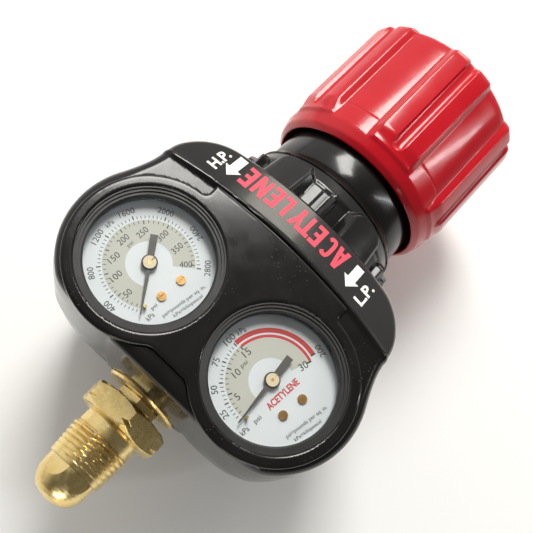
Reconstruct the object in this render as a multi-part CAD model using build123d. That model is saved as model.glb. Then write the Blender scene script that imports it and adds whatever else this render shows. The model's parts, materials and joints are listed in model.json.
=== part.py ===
from build123d import *
from math import atan2, copysign, cos, degrees, pi, radians, sin, sqrt
import os

# Acetylene cylinder regulator, single stage, with two back-mounted gauges.
# Millimetres. +X runs along the inlet and knob axis towards the knob, +Z leaves the
# gauge faces, +Y runs towards the high-pressure gauge. The origin lies on the inlet
# axis at the open end of the inlet nut's thread, where its first crest begins.

# ---- driving dimensions -------------------------------------------------------------

# inlet connection, 0.885 in - 14 left hand
inlet_thread_r = 11.24
inlet_pitch = 25.4 / 14
inlet_ridges = 7
inlet_thread_depth = 1.05
crest_start = 0.28
crest_end = 0.62
flank_end = 0.90
inlet_hex_flats = 28.6
inlet_hex_turn = 21.4
inlet_hex_x = 17.7
inlet_neck_r = 10.4
inlet_nut_end = 26.2
nipple_shank_r = 6.3
nose_r = 9.9
nose_length = 12.5
nose_base_x = -0.6
nose_tip_r = 2.6
nose_hex_flats = 18.2

# outlet connection, 9/16 in - 18 left hand
outlet_thread_r = 7.14
outlet_pitch = 25.4 / 18
outlet_ridges = 7
outlet_x = 76.0
outlet_thread_z = -39.5
outlet_thread_depth = 0.8
outlet_hex_flats = 19.0
outlet_bore_r = 2.8

# clearances
running_gap = 0.08
seated_gap = 0.04
free_gap = 0.4

# gauges
gauge_x = 56.0
gauge_y = 25.5
dial_z = 40.0
dial_r = 20.4
case_r = 21.6
case_wall = 0.8
case_back_z = 18.0
lens_top_z = 44.4
window_r = 19.8
pointer_lift = 1.4
pinion_teeth = 10
gear_module = 0.3
gear_ratio = 6
gear_z = 30.6
gear_thickness = 1.6
tooth_thickness = 0.30
arbor_r = 0.52
sector_r = gear_module * pinion_teeth * gear_ratio / 2
pinion_r = gear_module * pinion_teeth / 2
sector_axis = (0.0, -(sector_r + pinion_r))
tail_length = 4.0
tail_angle = -20.0
link_end = (14.6, -2.0)
dial_screw_places = [(3.87, -10.1), (-3.87, -10.1)]
stop_pin_r = 13.6
stop_pin_lead = 3.9

# shroud
rear_x = 30.9
lobe_x = 57.6
lobe_r = 29.6
waist_y = 47.0
shoulder_y = 48.2
front_x = 107.6
front_corner_r = 18.5
front_sag = 3.0
wall = 2.5
face_z = 46.8
face_thickness = 2.3
face_edge_x = 90.0
ring_r = 26.3
shoulder_z = 45.2
band_edge_x = 89.3
band_edge_sag = 6.0
band_half_y = 52.0
notch_y = 27.5
split_z = -2.0
floor_z = -34.0
roof_slope = 24.4
roof_r = 300.0
skin_levels = ((floor_z, 7.6), (-29.0, 6.0), (split_z, 2.2), (14.0, 0.0), (34.0, 0.0),
               (42.0, 1.0), (46.5, 3.0))
gauge_hole_r = 22.6
screw_places = [(41.0, 32.0), (41.0, -32.0), (81.0, 35.0), (81.0, -35.0)]
screw_shank_r = 1.38
screw_head_r = 2.8

# spring case and its collar
cap_r = 36.0
cap_x0 = 90.2
cap_top_x = 122.5
cap_neck_r = 28.8
collar_x0 = 127.2
collar_x1 = 138.9
collar_r = 28.8
spring_room_r = 17.0
neck_r = 15.0
neck_end_x = 164.0
lobe_count = 6
recess_half_angle = 15.0

# knob
knob_r = 36.2
knob_mouth_x = 137.6
knob_end_x = 194.2
knob_recess_x = knob_end_x - 3.0
knob_seat_x = knob_end_x - 8.8
knob_mouth_r = 30.4
knob_valley_r = 34.1
knob_pads = 6
pad_x0 = 142.9
pad_x1 = 150.3
pad_half_angle = 15.5
pad_turn = 5.5
pad_groove_r = 2.7
pad_groove_depth = 1.5
hub_x = 172.2

# pressure parts on the main axis
boss_face_x = 29.9
flange_r = 31.5
flange_x0 = 88.0
diaphragm_x = 98.0
diaphragm_thickness = 1.5
shoulder_x = diaphragm_x + diaphragm_thickness + 0.6
port_z = 14.0
chamber_r = 7.0
low_room_r = 24.0
low_room_x = 92.0
low_passage_y = 10.5
relief_x = 80.0
relief_y = 22.0

# adjuster
screw_r = 6.35
spring_x0 = diaphragm_x + diaphragm_thickness + 2.2
spring_mean_r = 12.0
spring_wire_r = 1.7
button_x = 131.0
ball_r = 3.0
ball_x = button_x + 6.0
screw_hub_x = 171.8
screw_drive_flats = 8.8

# name, side, turn of the whole gauge in its socket, zero of the scale, all in degrees
GAUGES = (("high", 1, -4.5, 219.7), ("low", -1, -7.7, 192.0))


# ---- helpers ------------------------------------------------------------------------

def distinct(points):
    """Points without any that repeats the one before it."""
    return [p for n, p in enumerate(points) if n == 0 or p != points[n - 1]]


def polar(r, angle):
    """Plan point at a radius and an angle in degrees."""
    return (r * cos(radians(angle)), r * sin(radians(angle)))


def revolved(points):
    """Solid of revolution about X from (x, radius) points."""
    outline = Polyline(*[(x, 0, r) for x, r in distinct(points)], close=True)
    return revolve(make_face(outline), axis=Axis.X)


def turned_z(points):
    """Solid of revolution about Z from (radius, z) points."""
    outline = Polyline(*[(r, 0, z) for r, z in distinct(points)], close=True)
    return revolve(make_face(outline), axis=Axis.Z)


def rod_x(r, x0, x1, y=0.0, z=0.0):
    """Round bar along X."""
    return Pos((x0 + x1) / 2, y, z) * Rot(0, 90, 0) * Cylinder(r, x1 - x0)


def rod_y(r, y0, y1, x=0.0, z=0.0):
    """Round bar along Y."""
    return Pos(x, (y0 + y1) / 2, z) * Rot(90, 0, 0) * Cylinder(r, y1 - y0)


def rod_z(r, z0, z1, x=0.0, y=0.0):
    """Round bar along Z."""
    return Pos(x, y, (z0 + z1) / 2) * Cylinder(r, z1 - z0)


def hex_x(flats, x0, x1, turn=0.0):
    """Hexagonal bar along X, flats apart."""
    bar = extrude(RegularPolygon(flats / 2, 6, major_radius=False), x1 - x0)
    return Pos(x0, 0, 0) * Rot(0, 90, 0) * Rot(0, 0, turn) * bar


def hex_z(flats, z0, z1, x=0.0, y=0.0):
    """Hexagonal bar along Z, flats apart."""
    bar = extrude(RegularPolygon(flats / 2, 6, major_radius=False), z1 - z0)
    return Pos(x, y, z0) * bar


def block(x0, x1, y0, y1, z0, z1):
    """Box between two corners."""
    return Pos((x0 + x1) / 2, (y0 + y1) / 2, (z0 + z1) / 2) * Box(x1 - x0, y1 - y0, z1 - z0)


def ridged(radius, depth, pitch, count, start, step):
    """(position, radius) points of a ridged stretch: flat crests a quarter pitch wide."""
    points = []
    for turn in range(count):
        at = start + step * turn * pitch
        points.append((at, radius - depth))
        points.append((at + step * crest_start * pitch, radius))
        points.append((at + step * crest_end * pitch, radius))
        points.append((at + step * flank_end * pitch, radius - depth))
    return points


def coil_x(mean_r, wire_r, x0, x1, turns):
    """Round-wire compression spring along X."""
    pitch = (x1 - x0) / turns
    path = Helix(pitch, x1 - x0, mean_r)
    start = Plane(origin=path @ 0, z_dir=path % 0)
    wire = sweep(start * Circle(wire_r), path=path, is_frenet=True)
    return Pos(x0, 0, 0) * Rot(0, 90, 0) * wire


def wedge_x(half_angle):
    """Wedge that opens from the X axis upwards, over the spring case and the knob."""
    corners = [(0, 0), polar(60, 180 - half_angle), polar(60, 180 + half_angle)]
    wedge = extrude(make_face(Polyline(*corners, close=True)), knob_end_x - cap_x0 + 1)
    return Pos(cap_x0, 0, 0) * Rot(0, 90, 0) * wedge


def around_x(shape, count, first=0.0):
    """Copies of a shape turned evenly about X."""
    return [Rot(first + 360 * n / count, 0, 0) * shape for n in range(count)]


# ---- inlet ----------------------------------------------------------------------------

def inlet_nut():
    """Male nut, left-hand thread, notched hexagon."""
    root_r = inlet_thread_r - inlet_thread_depth
    thread_start = -crest_start * inlet_pitch
    thread_end = thread_start + inlet_ridges * inlet_pitch
    corner_r = inlet_hex_flats / 2 / cos(pi / 6)
    points = [(thread_start, 0.0), (thread_start, root_r)]
    points += ridged(inlet_thread_r, inlet_thread_depth, inlet_pitch, inlet_ridges,
                     thread_start, 1)
    points += [(thread_end, root_r), (thread_end + 0.3, inlet_neck_r)]
    points += [(inlet_hex_x - 0.8, inlet_neck_r), (inlet_hex_x, 12.6), (inlet_hex_x, 0.0)]
    nut = revolved(points)
    head = hex_x(inlet_hex_flats, inlet_hex_x, inlet_nut_end, turn=inlet_hex_turn)
    chamfer = revolved([
        (inlet_hex_x, 0), (inlet_hex_x, 14.0), (inlet_hex_x + 1.6, corner_r + 0.2),
        (inlet_nut_end - 1.6, corner_r + 0.2), (inlet_nut_end, 14.0), (inlet_nut_end, 0),
    ])
    notch_x = (inlet_hex_x + inlet_nut_end) / 2
    notch = revolved([
        (notch_x - 1.3, corner_r + 1), (notch_x, corner_r - 1.5), (notch_x + 1.3, corner_r + 1),
    ])
    nut += (head & chamfer) - notch
    return nut - rod_x(nipple_shank_r + running_gap, -1, inlet_nut_end + 1)


def inlet_nipple():
    """Bullet-nosed nipple: nose, shank through the nut, hexagon and body thread."""
    curve = []
    steps = 10
    for n in range(steps + 1):
        along = n / steps
        x = -nose_length + nose_length * 0.93 * along
        r = nose_tip_r + (nose_r - nose_tip_r) * sqrt(1 - (1 - along) ** 2.1)
        curve.append((x, r))
    nose = revolved([(-nose_length, 0)] + curve + [(nose_base_x, nose_r), (nose_base_x, 0)])
    nose = nose & hex_x(nose_hex_flats, -nose_length, 0)
    shank = rod_x(nipple_shank_r, nose_base_x - 0.1, 30)
    wrench = hex_x(15.0, inlet_nut_end + 1.4, boss_face_x - 0.3)
    plug = rod_x(6.6 - seated_gap, 29, 44)
    bore = rod_x(2.0, -nose_length - 1, 45)
    filter_seat = rod_x(4.0, 36, 45)
    return nose + shank + wrench + plug - bore - filter_seat


def inlet_filter():
    """Sintered filter pressed into the nipple's inner end."""
    return revolved([(36.2, 0), (36.2, 3.9), (43.8, 3.9), (43.8, 2.6), (38.0, 2.2), (38.0, 0)])


# ---- body and pressure parts -----------------------------------------------------------

def regulator_body():
    """Brass forging: inlet boss, barrel, gauge arms, diaphragm flange, outlet boss."""
    body = revolved([
        (boss_face_x, 0), (boss_face_x, 13.4), (boss_face_x + 0.8, 14.2), (34, 14.2), (36, 13.0),
        (74, 13.0), (84, 26.0), (flange_x0, flange_r), (diaphragm_x, flange_r), (diaphragm_x, 0),
    ])
    arms = block(gauge_x - 8, gauge_x + 8, -gauge_y, gauge_y, -8, 8)
    body += arms
    for _, side, _, _ in GAUGES:
        body += rod_z(9.5, -8, port_z, gauge_x, side * gauge_y)
    body += rod_z(12.0, -30, 0, outlet_x, 0)
    body += rod_z(8.0, -28, 2, relief_x, relief_y)
    for _, side, _, _ in GAUGES:
        body -= rod_z(6.6, 1, port_z + 1, gauge_x, side * gauge_y)
    body -= rod_x(6.6, boss_face_x - 1, 44.2)
    body -= rod_x(2.5, 44, 66.5)
    body -= rod_x(chamber_r, 66, low_room_x + 1)
    body -= rod_x(low_room_r, low_room_x, diaphragm_x + 1)
    body -= rod_y(1.5, 0, gauge_y, gauge_x, -1)
    body -= rod_x(1.2, gauge_x, low_room_x + 1, -low_passage_y)
    body -= rod_y(1.2, -gauge_y, -low_passage_y, gauge_x)
    for _, side, _, _ in GAUGES:
        body -= rod_z(1.5, -1.5, 2, gauge_x, side * gauge_y)
    body -= rod_z(12.3, -40, -30, outlet_x, 0)
    body -= rod_z(7.0, -31, -18, outlet_x, 0)
    body -= rod_x(2.5, outlet_x, low_room_x + 1, 0, -19)
    body -= rod_z(5.0, -29, -12, relief_x, relief_y)
    body -= rod_z(1.5, -13, -2, relief_x, relief_y)
    body -= rod_x(1.5, relief_x, low_room_x + 1, relief_y, -2)
    return body


def seat_nozzle():
    """Screwed-in nozzle that the valve closes against."""
    nozzle = rod_x(chamber_r - seated_gap, 79.5, 91.0)
    nozzle += hex_x(17.0, low_room_x + seated_gap, low_room_x + 2.4)
    nozzle += rod_x(chamber_r - seated_gap, 90.0, low_room_x + 1)
    return nozzle - rod_x(2.4, 79, 96)


def valve_stem():
    """Valve head with its soft seat, tail and push pin."""
    stem = revolved([
        (70.0, 0), (70.0, 1.2), (76.2, 1.2), (76.2, 4.4), (78.6, 4.4), (79.4, 3.4), (79.4, 1.3),
        (95.4, 1.3), (95.4, 0),
    ])
    return stem


def valve_spring():
    """Return spring behind the valve head."""
    return coil_x(3.4, 0.4, 67.0, 75.7, 5)


def diaphragm():
    """Rubberised fabric disc with one convolution, clamped at its rim."""
    back = diaphragm_x + 0.02
    front = back + diaphragm_thickness
    return revolved([
        (back, 2.6), (back, 19.0), (back + 1.2, 21.0), (back, 23.0), (back, 30.0),
        (front, 30.0), (front, 23.6), (front + 1.2, 21.0), (front, 18.4), (front, 2.6),
    ])


def diaphragm_slip_ring():
    """Thin steel ring that lets the spring case be screwed down without dragging."""
    inner_x = diaphragm_x + diaphragm_thickness + 0.04
    return rod_x(30.0, inner_x, inner_x + 0.5) - rod_x(25.5, inner_x - 1, inner_x + 2)


def diaphragm_plate():
    """Spring seat, centre stud and under-washer, riveted through the diaphragm."""
    top = diaphragm_x + diaphragm_thickness + 0.12
    under = diaphragm_x - 0.1
    return revolved([
        (95.5, 0), (95.5, 8.0), (under, 9.0), (under, 2.4), (top, 2.4), (top, 17.6),
        (top + 0.8, 18.0), (top + 2.0, 16.0), (top + 2.0, 8.0), (top + 5.0, 7.0), (top + 5.0, 0),
    ])


# ---- spring case and adjuster -----------------------------------------------------------

def bonnet():
    """Die-cast spring case with its lobed gripping ring and threaded neck."""
    case = revolved([
        (cap_x0, flange_r + 0.1), (cap_x0, cap_r - 0.5), (cap_x0 + 0.5, cap_r), (108, cap_r),
        (cap_top_x - 0.6, 33.4), (cap_top_x, 32.6), (124.0, 30.4), (collar_x0, cap_neck_r),
        (collar_x0, 26.4), (135.8, 26.4), (136.0, 24.0), (141.0, 20.0), (146.0, neck_r),
        (neck_end_x - 1, neck_r), (neck_end_x, neck_r - 1), (neck_end_x, 10.4),
        (148.0, 10.4), (148.0, 8.0), (142.0, 8.0), (142.0, spring_room_r),
        (108.0, spring_room_r), (103.0, 25.0), (shoulder_x, 25.0), (shoulder_x, flange_r + 0.1),
    ])
    pocket = revolved([
        (104.0, 31.0), (104.0, 40.0), (cap_top_x + 3, 40.0), (cap_top_x + 3, 30.6), (118.0, 31.0),
    ])
    recess = pocket & wedge_x(recess_half_angle)
    rib = block(104.0, 121.0, -1.2, 1.2, 29.0, 33.4)
    for turned in around_x(recess, lobe_count):
        case -= turned
    for turned in around_x(rib, lobe_count):
        case += turned
    for turned in around_x(rod_x(0.9, cap_x0 - 1, 100, 0, cap_r + 0.2), 12, 15):
        case -= turned
    return case


def bonnet_collar():
    """Smooth sleeve round the spring case, under the knob's skirt."""
    bore = 26.4 + seated_gap
    return revolved([
        (collar_x0 + 0.05, bore), (collar_x0 + 0.05, collar_r - 0.2), (collar_x0 + 0.25, collar_r),
        (collar_x1 - 0.7, collar_r), (collar_x1, collar_r - 0.7), (collar_x1, bore),
    ])


def adjusting_spring():
    """Main range spring between the diaphragm plate and the button."""
    start = spring_x0 + spring_wire_r
    end = button_x - spring_wire_r - 0.1
    return coil_x(spring_mean_r, spring_wire_r, start, end, 5)


def spring_button():
    """Upper spring seat with a cup for the thrust ball."""
    return revolved([
        (button_x - 4.0, 0), (button_x - 4.0, 9.5), (button_x, 9.9), (button_x, 15.6),
        (button_x + 2.0, 15.6), (button_x + 4.0, 12.0), (button_x + 4.5, 6.0), (button_x + 4.5, 3.6),
        (button_x + 2.9, 2.0), (button_x + 2.9, 0),
    ])


def thrust_ball():
    """Steel ball between the screw and the button."""
    return Pos(ball_x, 0, 0) * Sphere(ball_r)


def thread_insert():
    """Bronze threaded bush pressed into the neck of the spring case."""
    return revolved([
        (148.05, screw_r + running_gap), (148.05, 10.36),
        (neck_end_x + 0.05, 10.36), (neck_end_x + 0.05, 12.0), (neck_end_x + 1.4, 12.0),
        (neck_end_x + 1.4, screw_r + running_gap),
    ])


def adjusting_screw():
    """Pressure-adjusting screw with a cupped tip and a square drive under the knob."""
    tip_x = ball_x + ball_r - 0.6
    screw = revolved([
        (tip_x + 1.2, 0), (tip_x, 2.2), (tip_x, 4.6), (tip_x + 1.0, screw_r),
        (screw_hub_x, screw_r), (screw_hub_x, 0),
    ])
    half = screw_drive_flats / 2
    screw += block(screw_hub_x - 0.2, knob_seat_x - 0.2, -half, half, -half, half)
    return screw - rod_x(1.7, knob_seat_x - 12.0, knob_seat_x)


def knob():
    """Moulded knob: skirt, gripping lands, web and hub."""
    outer = [
        (knob_mouth_x + 2.6, knob_mouth_r), (knob_mouth_x + 0.4, knob_mouth_r),
        (knob_mouth_x, knob_mouth_r + 0.5), (knob_mouth_x + 1.2, knob_mouth_r + 2.2),
        (knob_mouth_x + 1.8, knob_mouth_r + 2.7), (pad_x0, knob_valley_r),
        (knob_end_x - 2.4, knob_valley_r), (knob_end_x - 1.0, 33.4), (knob_end_x - 0.2, 32.4),
        (knob_end_x, 31.4),
    ]
    inner = [
        (knob_end_x, 19.2), (knob_recess_x, 19.2), (knob_recess_x, 8.0), (knob_seat_x, 8.0),
        (knob_seat_x, 0.0), (hub_x, 0.0), (hub_x, 11.0), (180.0, 13.0), (180.0, 27.5),
        (160.0, 29.2), (148.0, knob_mouth_r),
    ]
    shape = revolved(outer + inner)
    pad = revolved([
        (pad_x0, 32.0), (pad_x0, knob_valley_r - 0.1), (pad_x0 + 1.7, knob_valley_r + 1.1),
        (pad_x1, knob_r), (knob_end_x - 2.4, knob_r), (knob_end_x - 1.0, 35.6),
        (knob_end_x - 0.1, 34.4), (knob_end_x - 0.1, 29.0),
    ])
    pad = pad & wedge_x(pad_half_angle)
    centre_r = knob_r + pad_groove_r - pad_groove_depth
    groove = rod_x(pad_groove_r, pad_x1 - 2.0, knob_end_x + 1, 0, centre_r)
    groove += Pos(pad_x1 - 2.0, 0, centre_r) * Sphere(pad_groove_r)
    for turned in around_x(pad - groove, knob_pads, pad_turn):
        shape += turned
    half = screw_drive_flats / 2 + seated_gap
    shape -= block(hub_x - 0.2, knob_seat_x + 0.6, -half, half, -half, half)
    return shape - rod_x(2.1, knob_seat_x - 5.0, knob_recess_x + 1.0)


def knob_cap():
    """Plain disc snapped into the front of the knob."""
    return revolved([
        (knob_recess_x + 0.05, 9.0), (knob_recess_x + 0.05, 19.1), (knob_end_x - 0.8, 19.1),
        (knob_end_x - 0.2, 18.0), (knob_end_x, 0), (knob_end_x - 1.8, 0),
        (knob_end_x - 1.8, 9.0),
    ])


def knob_screw():
    """Pan-head screw that holds the knob on the adjusting screw."""
    seat = knob_seat_x + 0.05
    head = revolved([(seat, 0), (seat, 4.0), (seat + 1.5, 3.9), (seat + 2.4, 2.8), (seat + 2.4, 0)])
    head += rod_x(1.66, seat - 11.5, seat + 0.05)
    slot = block(seat + 1.7, seat + 3.5, -0.5, 0.5, -2.2, 2.2)
    slot += block(seat + 1.7, seat + 3.5, -2.2, 2.2, -0.5, 0.5)
    return head - slot


# ---- outlet and relief valve ----------------------------------------------------------------

def outlet_fitting():
    """Hose connection pointing down, left-hand male thread with a conical seat."""
    root_r = outlet_thread_r - outlet_thread_depth
    thread_end = outlet_thread_z - outlet_ridges * outlet_pitch
    column = [(outlet_bore_r, -18.4), (6.9, -18.4), (6.96, -30.0), (9.4, -30.05), (9.4, -36.0)]
    column += [(7.6, -37.6), (root_r, -38.2)]
    thread = ridged(outlet_thread_r, outlet_thread_depth, outlet_pitch, outlet_ridges,
                    outlet_thread_z, -1)
    column += [(r, z) for z, r in thread]
    column += [(root_r, thread_end), (root_r - 0.4, thread_end - 0.8), (5.6, thread_end - 0.8)]
    column += [(outlet_bore_r, thread_end + 3.8)]
    fitting = Pos(outlet_x, 0, 0) * turned_z(column)
    head = hex_z(outlet_hex_flats, -36.5, -30.05, outlet_x, 0)
    crown = Pos(outlet_x, 0, 0) * turned_z([
        (0, -30.05), (9.6, -30.05), (11.2, -31.0), (11.2, -35.5), (9.6, -36.5), (0, -36.5)])
    return fitting + (head & crown) - rod_z(outlet_bore_r, -60, -10, outlet_x, 0)


def relief_body():
    """Body of the relief valve, screwed into the low-pressure side."""
    shell = turned_z([
        (1.2, -14.0), (4.9, -14.0), (4.96, -28.0), (7.2, -28.05), (7.2, -33.6), (5.6, -34.4),
        (5.6, -41.6), (5.0, -42.2), (2.0, -42.2), (2.0, -40.4), (3.9, -40.4), (3.9, -17.5),
        (1.2, -17.5),
    ])
    nut = hex_z(14.0, -33.6, -28.05) - rod_z(5.0, -34, -28)
    vents = rod_x(0.9, -7, 7, 0, -38.5) + rod_y(0.9, -7, 7, 0, -38.5)
    return Pos(relief_x, relief_y, 0) * (shell + nut - vents)


def relief_poppet():
    """Poppet with its soft face, held up against the relief seat."""
    return Pos(relief_x, relief_y, 0) * turned_z([
        (0, -17.6), (2.4, -17.6), (2.6, -18.4), (3.6, -18.6), (3.6, -21.0), (1.3, -21.0),
        (1.3, -27.0), (0, -27.0),
    ])


def relief_spring():
    """Spring under the relief poppet."""
    coil = Rot(0, 90, 0) * coil_x(2.5, 0.45, 21.55, 39.85, 7)
    return Pos(relief_x, relief_y, 0) * coil


# ---- gauges ---------------------------------------------------------------------------------
# Each gauge is modelled with its pointer axis on Z through the origin of the plan, at its
# real height, and then moved to its place.

def gauge_case():
    """Drawn cup that holds the movement, the dial and the window."""
    rim_z = lens_top_z - 0.2
    cup = turned_z([
        (0, case_back_z), (case_r - 1.2, case_back_z), (case_r, case_back_z + 1.2),
        (case_r, rim_z - 0.4), (case_r - 0.2, rim_z), (case_r - case_wall, rim_z),
        (case_r - case_wall, case_back_z + case_wall), (0, case_back_z + case_wall),
    ])
    return cup - rod_z(4.4, case_back_z - 1, case_back_z + 2)


def gauge_socket():
    """Brass socket: pipe thread, wrench hexagon, and the block that feeds the tube."""
    stem = turned_z([(0, 2.2), (6.2, 2.2), (6.55, 3.0), (6.55, port_z), (7.5, port_z + 0.05),
                     (7.5, case_back_z - 0.1), (4.3, case_back_z - 0.1), (4.3, 20.2), (0, 20.2)])
    wrench = hex_z(14.0, port_z + 0.05, case_back_z - 0.1)
    base = block(-6, 6, -15.5, 5, case_back_z + case_wall + 0.1, 25.6)
    tower = block(-5, 5, -18.4, -14.1, 22, 33.3)
    return (stem & (wrench + rod_z(7, 0, 14) + rod_z(5, 13, 26))) + base + tower - rod_z(1.2, 0, 20)


def bourdon_tube():
    """Flattened C-shaped tube from the socket tower round to its closed tip."""
    start, end = -114.0, -10.0
    outer, inner = 18.2, 16.8
    low, high = 27.0, 33.5
    ring = rod_z(outer, low, high) - rod_z(inner, low - 1, high + 1)
    gap = [(0, 0), polar(40, start), polar(40, (start + end) / 2), polar(40, end)]
    tube = ring - extrude(make_face(Polyline(*gap, close=True)), 60)
    tube += block(-7.5, -5.02, -17.4, -15.2, 27.2, 33.3)
    tip = block(13.2, 17.2, -3.4, -0.6, 31.2, 32.3) + rod_z(0.7, 32.0, 33.5, *link_end)
    return tube + (tip & rod_z(outer, 26, 36))


def tube_link():
    """Link from the tube's tip to the sector's tail."""
    tail = polar(tail_length, tail_angle)
    x0, y0 = sector_axis[0] + tail[0], sector_axis[1] + tail[1]
    x1, y1 = link_end
    length = sqrt((x1 - x0) ** 2 + (y1 - y0) ** 2)
    angle = degrees(atan2(y1 - y0, x1 - x0))
    bar = block(0, length, -0.8, 0.8, 32.4, 33.0) + rod_z(1.5, 32.4, 33.0)
    bar += rod_z(1.5, 32.4, 33.0, length, 0)
    bar -= rod_z(0.5 + free_gap, 32, 34)
    bar -= rod_z(0.7 + running_gap, 32, 34, length, 0)
    return Pos(x0, y0, 0) * Rot(0, 0, angle) * bar


def movement():
    """Two bridge plates and three pillars that carry the sector and the pinion."""
    parts = block(-5, 5, -14, 4, 25.62, 26.5) + block(-5, 5, -14, 4, 36.0, 36.9)
    for x, y in ((-4, 2.8), (4, 2.8), (-3.9, -12.9)):
        parts += rod_z(0.9, 26.4, 36.1, x, y)
    for x, y in dial_screw_places:
        parts += rod_z(1.4, 36.8, dial_z - 0.55, x, y)
        parts -= rod_z(0.75, 35, dial_z, x, y)
    for z in (25.0, 35.0):
        parts -= rod_z(arbor_r + running_gap, z, z + 3)
        parts -= rod_z(arbor_r + running_gap, z, z + 3, *sector_axis)
    return parts


def toothed(teeth_at, root_r, tip_r, pitch_r, thickness, base):
    """Disc or sector with straight-flanked teeth at the given angles."""
    gear = base
    half_pitch = degrees(thickness / pitch_r) / 2
    for angle in teeth_at:
        corners = [polar(root_r - 0.15, angle - 1.25 * half_pitch * pitch_r / root_r),
                   polar(tip_r, angle - 0.5 * half_pitch),
                   polar(tip_r, angle + 0.5 * half_pitch),
                   polar(root_r - 0.15, angle + 1.25 * half_pitch * pitch_r / root_r)]
        gear += extrude(make_face(Polyline(*corners, close=True)), gear_thickness)
    return gear


def sector_gear():
    """Toothed sector on its arbor, with the tail that the link pulls."""
    root, tip = sector_r - 0.36, sector_r + 0.22
    tooth_step = 360 / (pinion_teeth * gear_ratio)
    angles = [90 - tooth_step * (n + 0.5) for n in range(-2, 10)]
    rim = [(0, 0)] + [polar(root, angle) for angle in range(28, 108, 8)]
    base = extrude(make_face(Polyline(*rim, close=True)), gear_thickness)
    window = [polar(3.0, 46), polar(5.4, 39), polar(6.2, 66), polar(5.4, 96), polar(3.0, 90)]
    base -= Pos(0, 0, -1) * extrude(make_face(Polyline(*window, close=True)), 4)
    base += rod_z(2.0, 0, gear_thickness)
    gear = Pos(0, 0, gear_z) * toothed(angles, root, tip, sector_r, tooth_thickness, base)
    gear += rod_z(arbor_r, 25.7, 36.8)
    top = gear_z + gear_thickness
    tail = block(0, tail_length, -0.8, 0.8, gear_z, top)
    tail += rod_z(1.1, gear_z, top, tail_length, 0)
    tail += rod_z(0.5, top - 0.2, top + 1.4, tail_length, 0)
    return Pos(*sector_axis, 0) * (gear + Rot(0, 0, tail_angle) * tail)


def pinion():
    """Pinion and pointer shaft in one."""
    root, tip = pinion_r - 0.34, pinion_r + 0.2
    angles = [270 + 36 * n for n in range(pinion_teeth)]
    base = rod_z(root, 0, gear_thickness)
    gear = Pos(0, 0, gear_z) * toothed(angles, root, tip, pinion_r, tooth_thickness, base)
    return gear + rod_z(arbor_r, 25.7, dial_z + 2.1) + rod_z(0.8, 27.0, gear_z + 0.1)


def hairspring():
    """Flat spiral that takes up the backlash and returns the pointer."""
    turns, first_r, growth, half = 4, 1.1, 0.55, 0.07
    steps = 24
    inner, outer = [], []
    for n in range(turns * steps + 1):
        angle = 360 * n / steps
        r = first_r + growth * n / steps
        inner.append(polar(r - half, angle))
        outer.append(polar(r + half, angle))
    strip = Polyline(*inner) + Line(inner[-1], outer[-1]) + Polyline(*reversed(outer))
    strip += Line(outer[0], inner[0])
    return Pos(0, 0, 33.8) * extrude(make_face(strip), 0.6)


def stop_pin_place(zero):
    """Plan point of the stop pin, just behind the pointer at zero."""
    return polar(stop_pin_r, zero + stop_pin_lead)


def dial(zero):
    """Printed dial plate."""
    disc = rod_z(dial_r, dial_z - 0.5, dial_z) - rod_z(1.4, 30, 50)
    for x, y in dial_screw_places:
        disc -= rod_z(0.75, 30, 50, x, y)
    return disc - rod_z(0.55, 30, 50, *stop_pin_place(zero))


def dial_screws():
    """Two brass screws through the dial into the movement's top plate."""
    screws = []
    for x, y in dial_screw_places:
        screw = rod_z(0.7, 37.2, dial_z + 0.1) + rod_z(1.45, dial_z + 0.02, dial_z + 0.62)
        screw -= block(-1.6, 1.6, -0.2, 0.2, dial_z + 0.35, dial_z + 1)
        screws.append(Pos(x, y, 0) * screw)
    return screws


def stop_pin(zero):
    """Pin that the pointer rests against at zero."""
    return rod_z(0.5, dial_z - 1.2, dial_z + pointer_lift + 0.6, *stop_pin_place(zero))


def pointer(zero):
    """Needle with its broad tail and round hub, pressed on the pointer shaft."""
    z0, z1 = dial_z + pointer_lift, dial_z + pointer_lift + 0.3
    tail = [(-8.9, -1.2), (-8.9, 1.2), (-1.5, 1.0), (-1.5, -1.0)]
    tip = [(1.5, -0.72), (1.5, 0.72), (16.5, 0.16), (16.5, -0.16)]
    needle = extrude(make_face(Polyline(*tail, close=True)), z1 - z0)
    needle += extrude(make_face(Polyline(*tip, close=True)), z1 - z0)
    needle = Pos(0, 0, z0) * needle
    hub = turned_z([(0.53, z0 - 0.25), (2.5, z0 - 0.25), (2.5, z1), (2.1, z1 + 0.35),
                    (0.53, z1 + 0.35)])
    return Rot(0, 0, zero) * (needle + hub)


def gauge_lens():
    """Clear window snapped into the case."""
    r = case_r - case_wall - seated_gap
    return turned_z([
        (0, lens_top_z - 0.8), (r - 0.9, lens_top_z - 0.8), (r - 0.9, dial_z + 0.1), (r, dial_z + 0.1),
        (r, lens_top_z - 0.3), (r - 0.3, lens_top_z), (0, lens_top_z),
    ])


def gauge_bezel():
    """Stepped ring between the window and the cover's opening."""
    outer = gauge_hole_r - seated_gap
    base = face_z - face_thickness + 0.05
    return turned_z([
        (window_r, base), (outer, base), (outer, 46.5), (outer - 0.4, 46.5), (outer - 0.4, 45.9),
        (outer - 1.3, 45.9), (outer - 1.3, 45.3), (window_r + 0.6, 45.3), (window_r, 44.8),
    ])


GAUGE_PARTS = {
    "gauge_case": gauge_case, "gauge_socket": gauge_socket, "bourdon_tube": bourdon_tube,
    "tube_link": tube_link, "movement": movement, "sector_gear": sector_gear, "pinion": pinion,
    "hairspring": hairspring, "dial_screws": dial_screws, "gauge_lens": gauge_lens,
    "gauge_bezel": gauge_bezel,
}
ZEROED_PARTS = {"dial": dial, "stop_pin": stop_pin, "pointer": pointer}


# ---- shroud ---------------------------------------------------------------------------------

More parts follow.
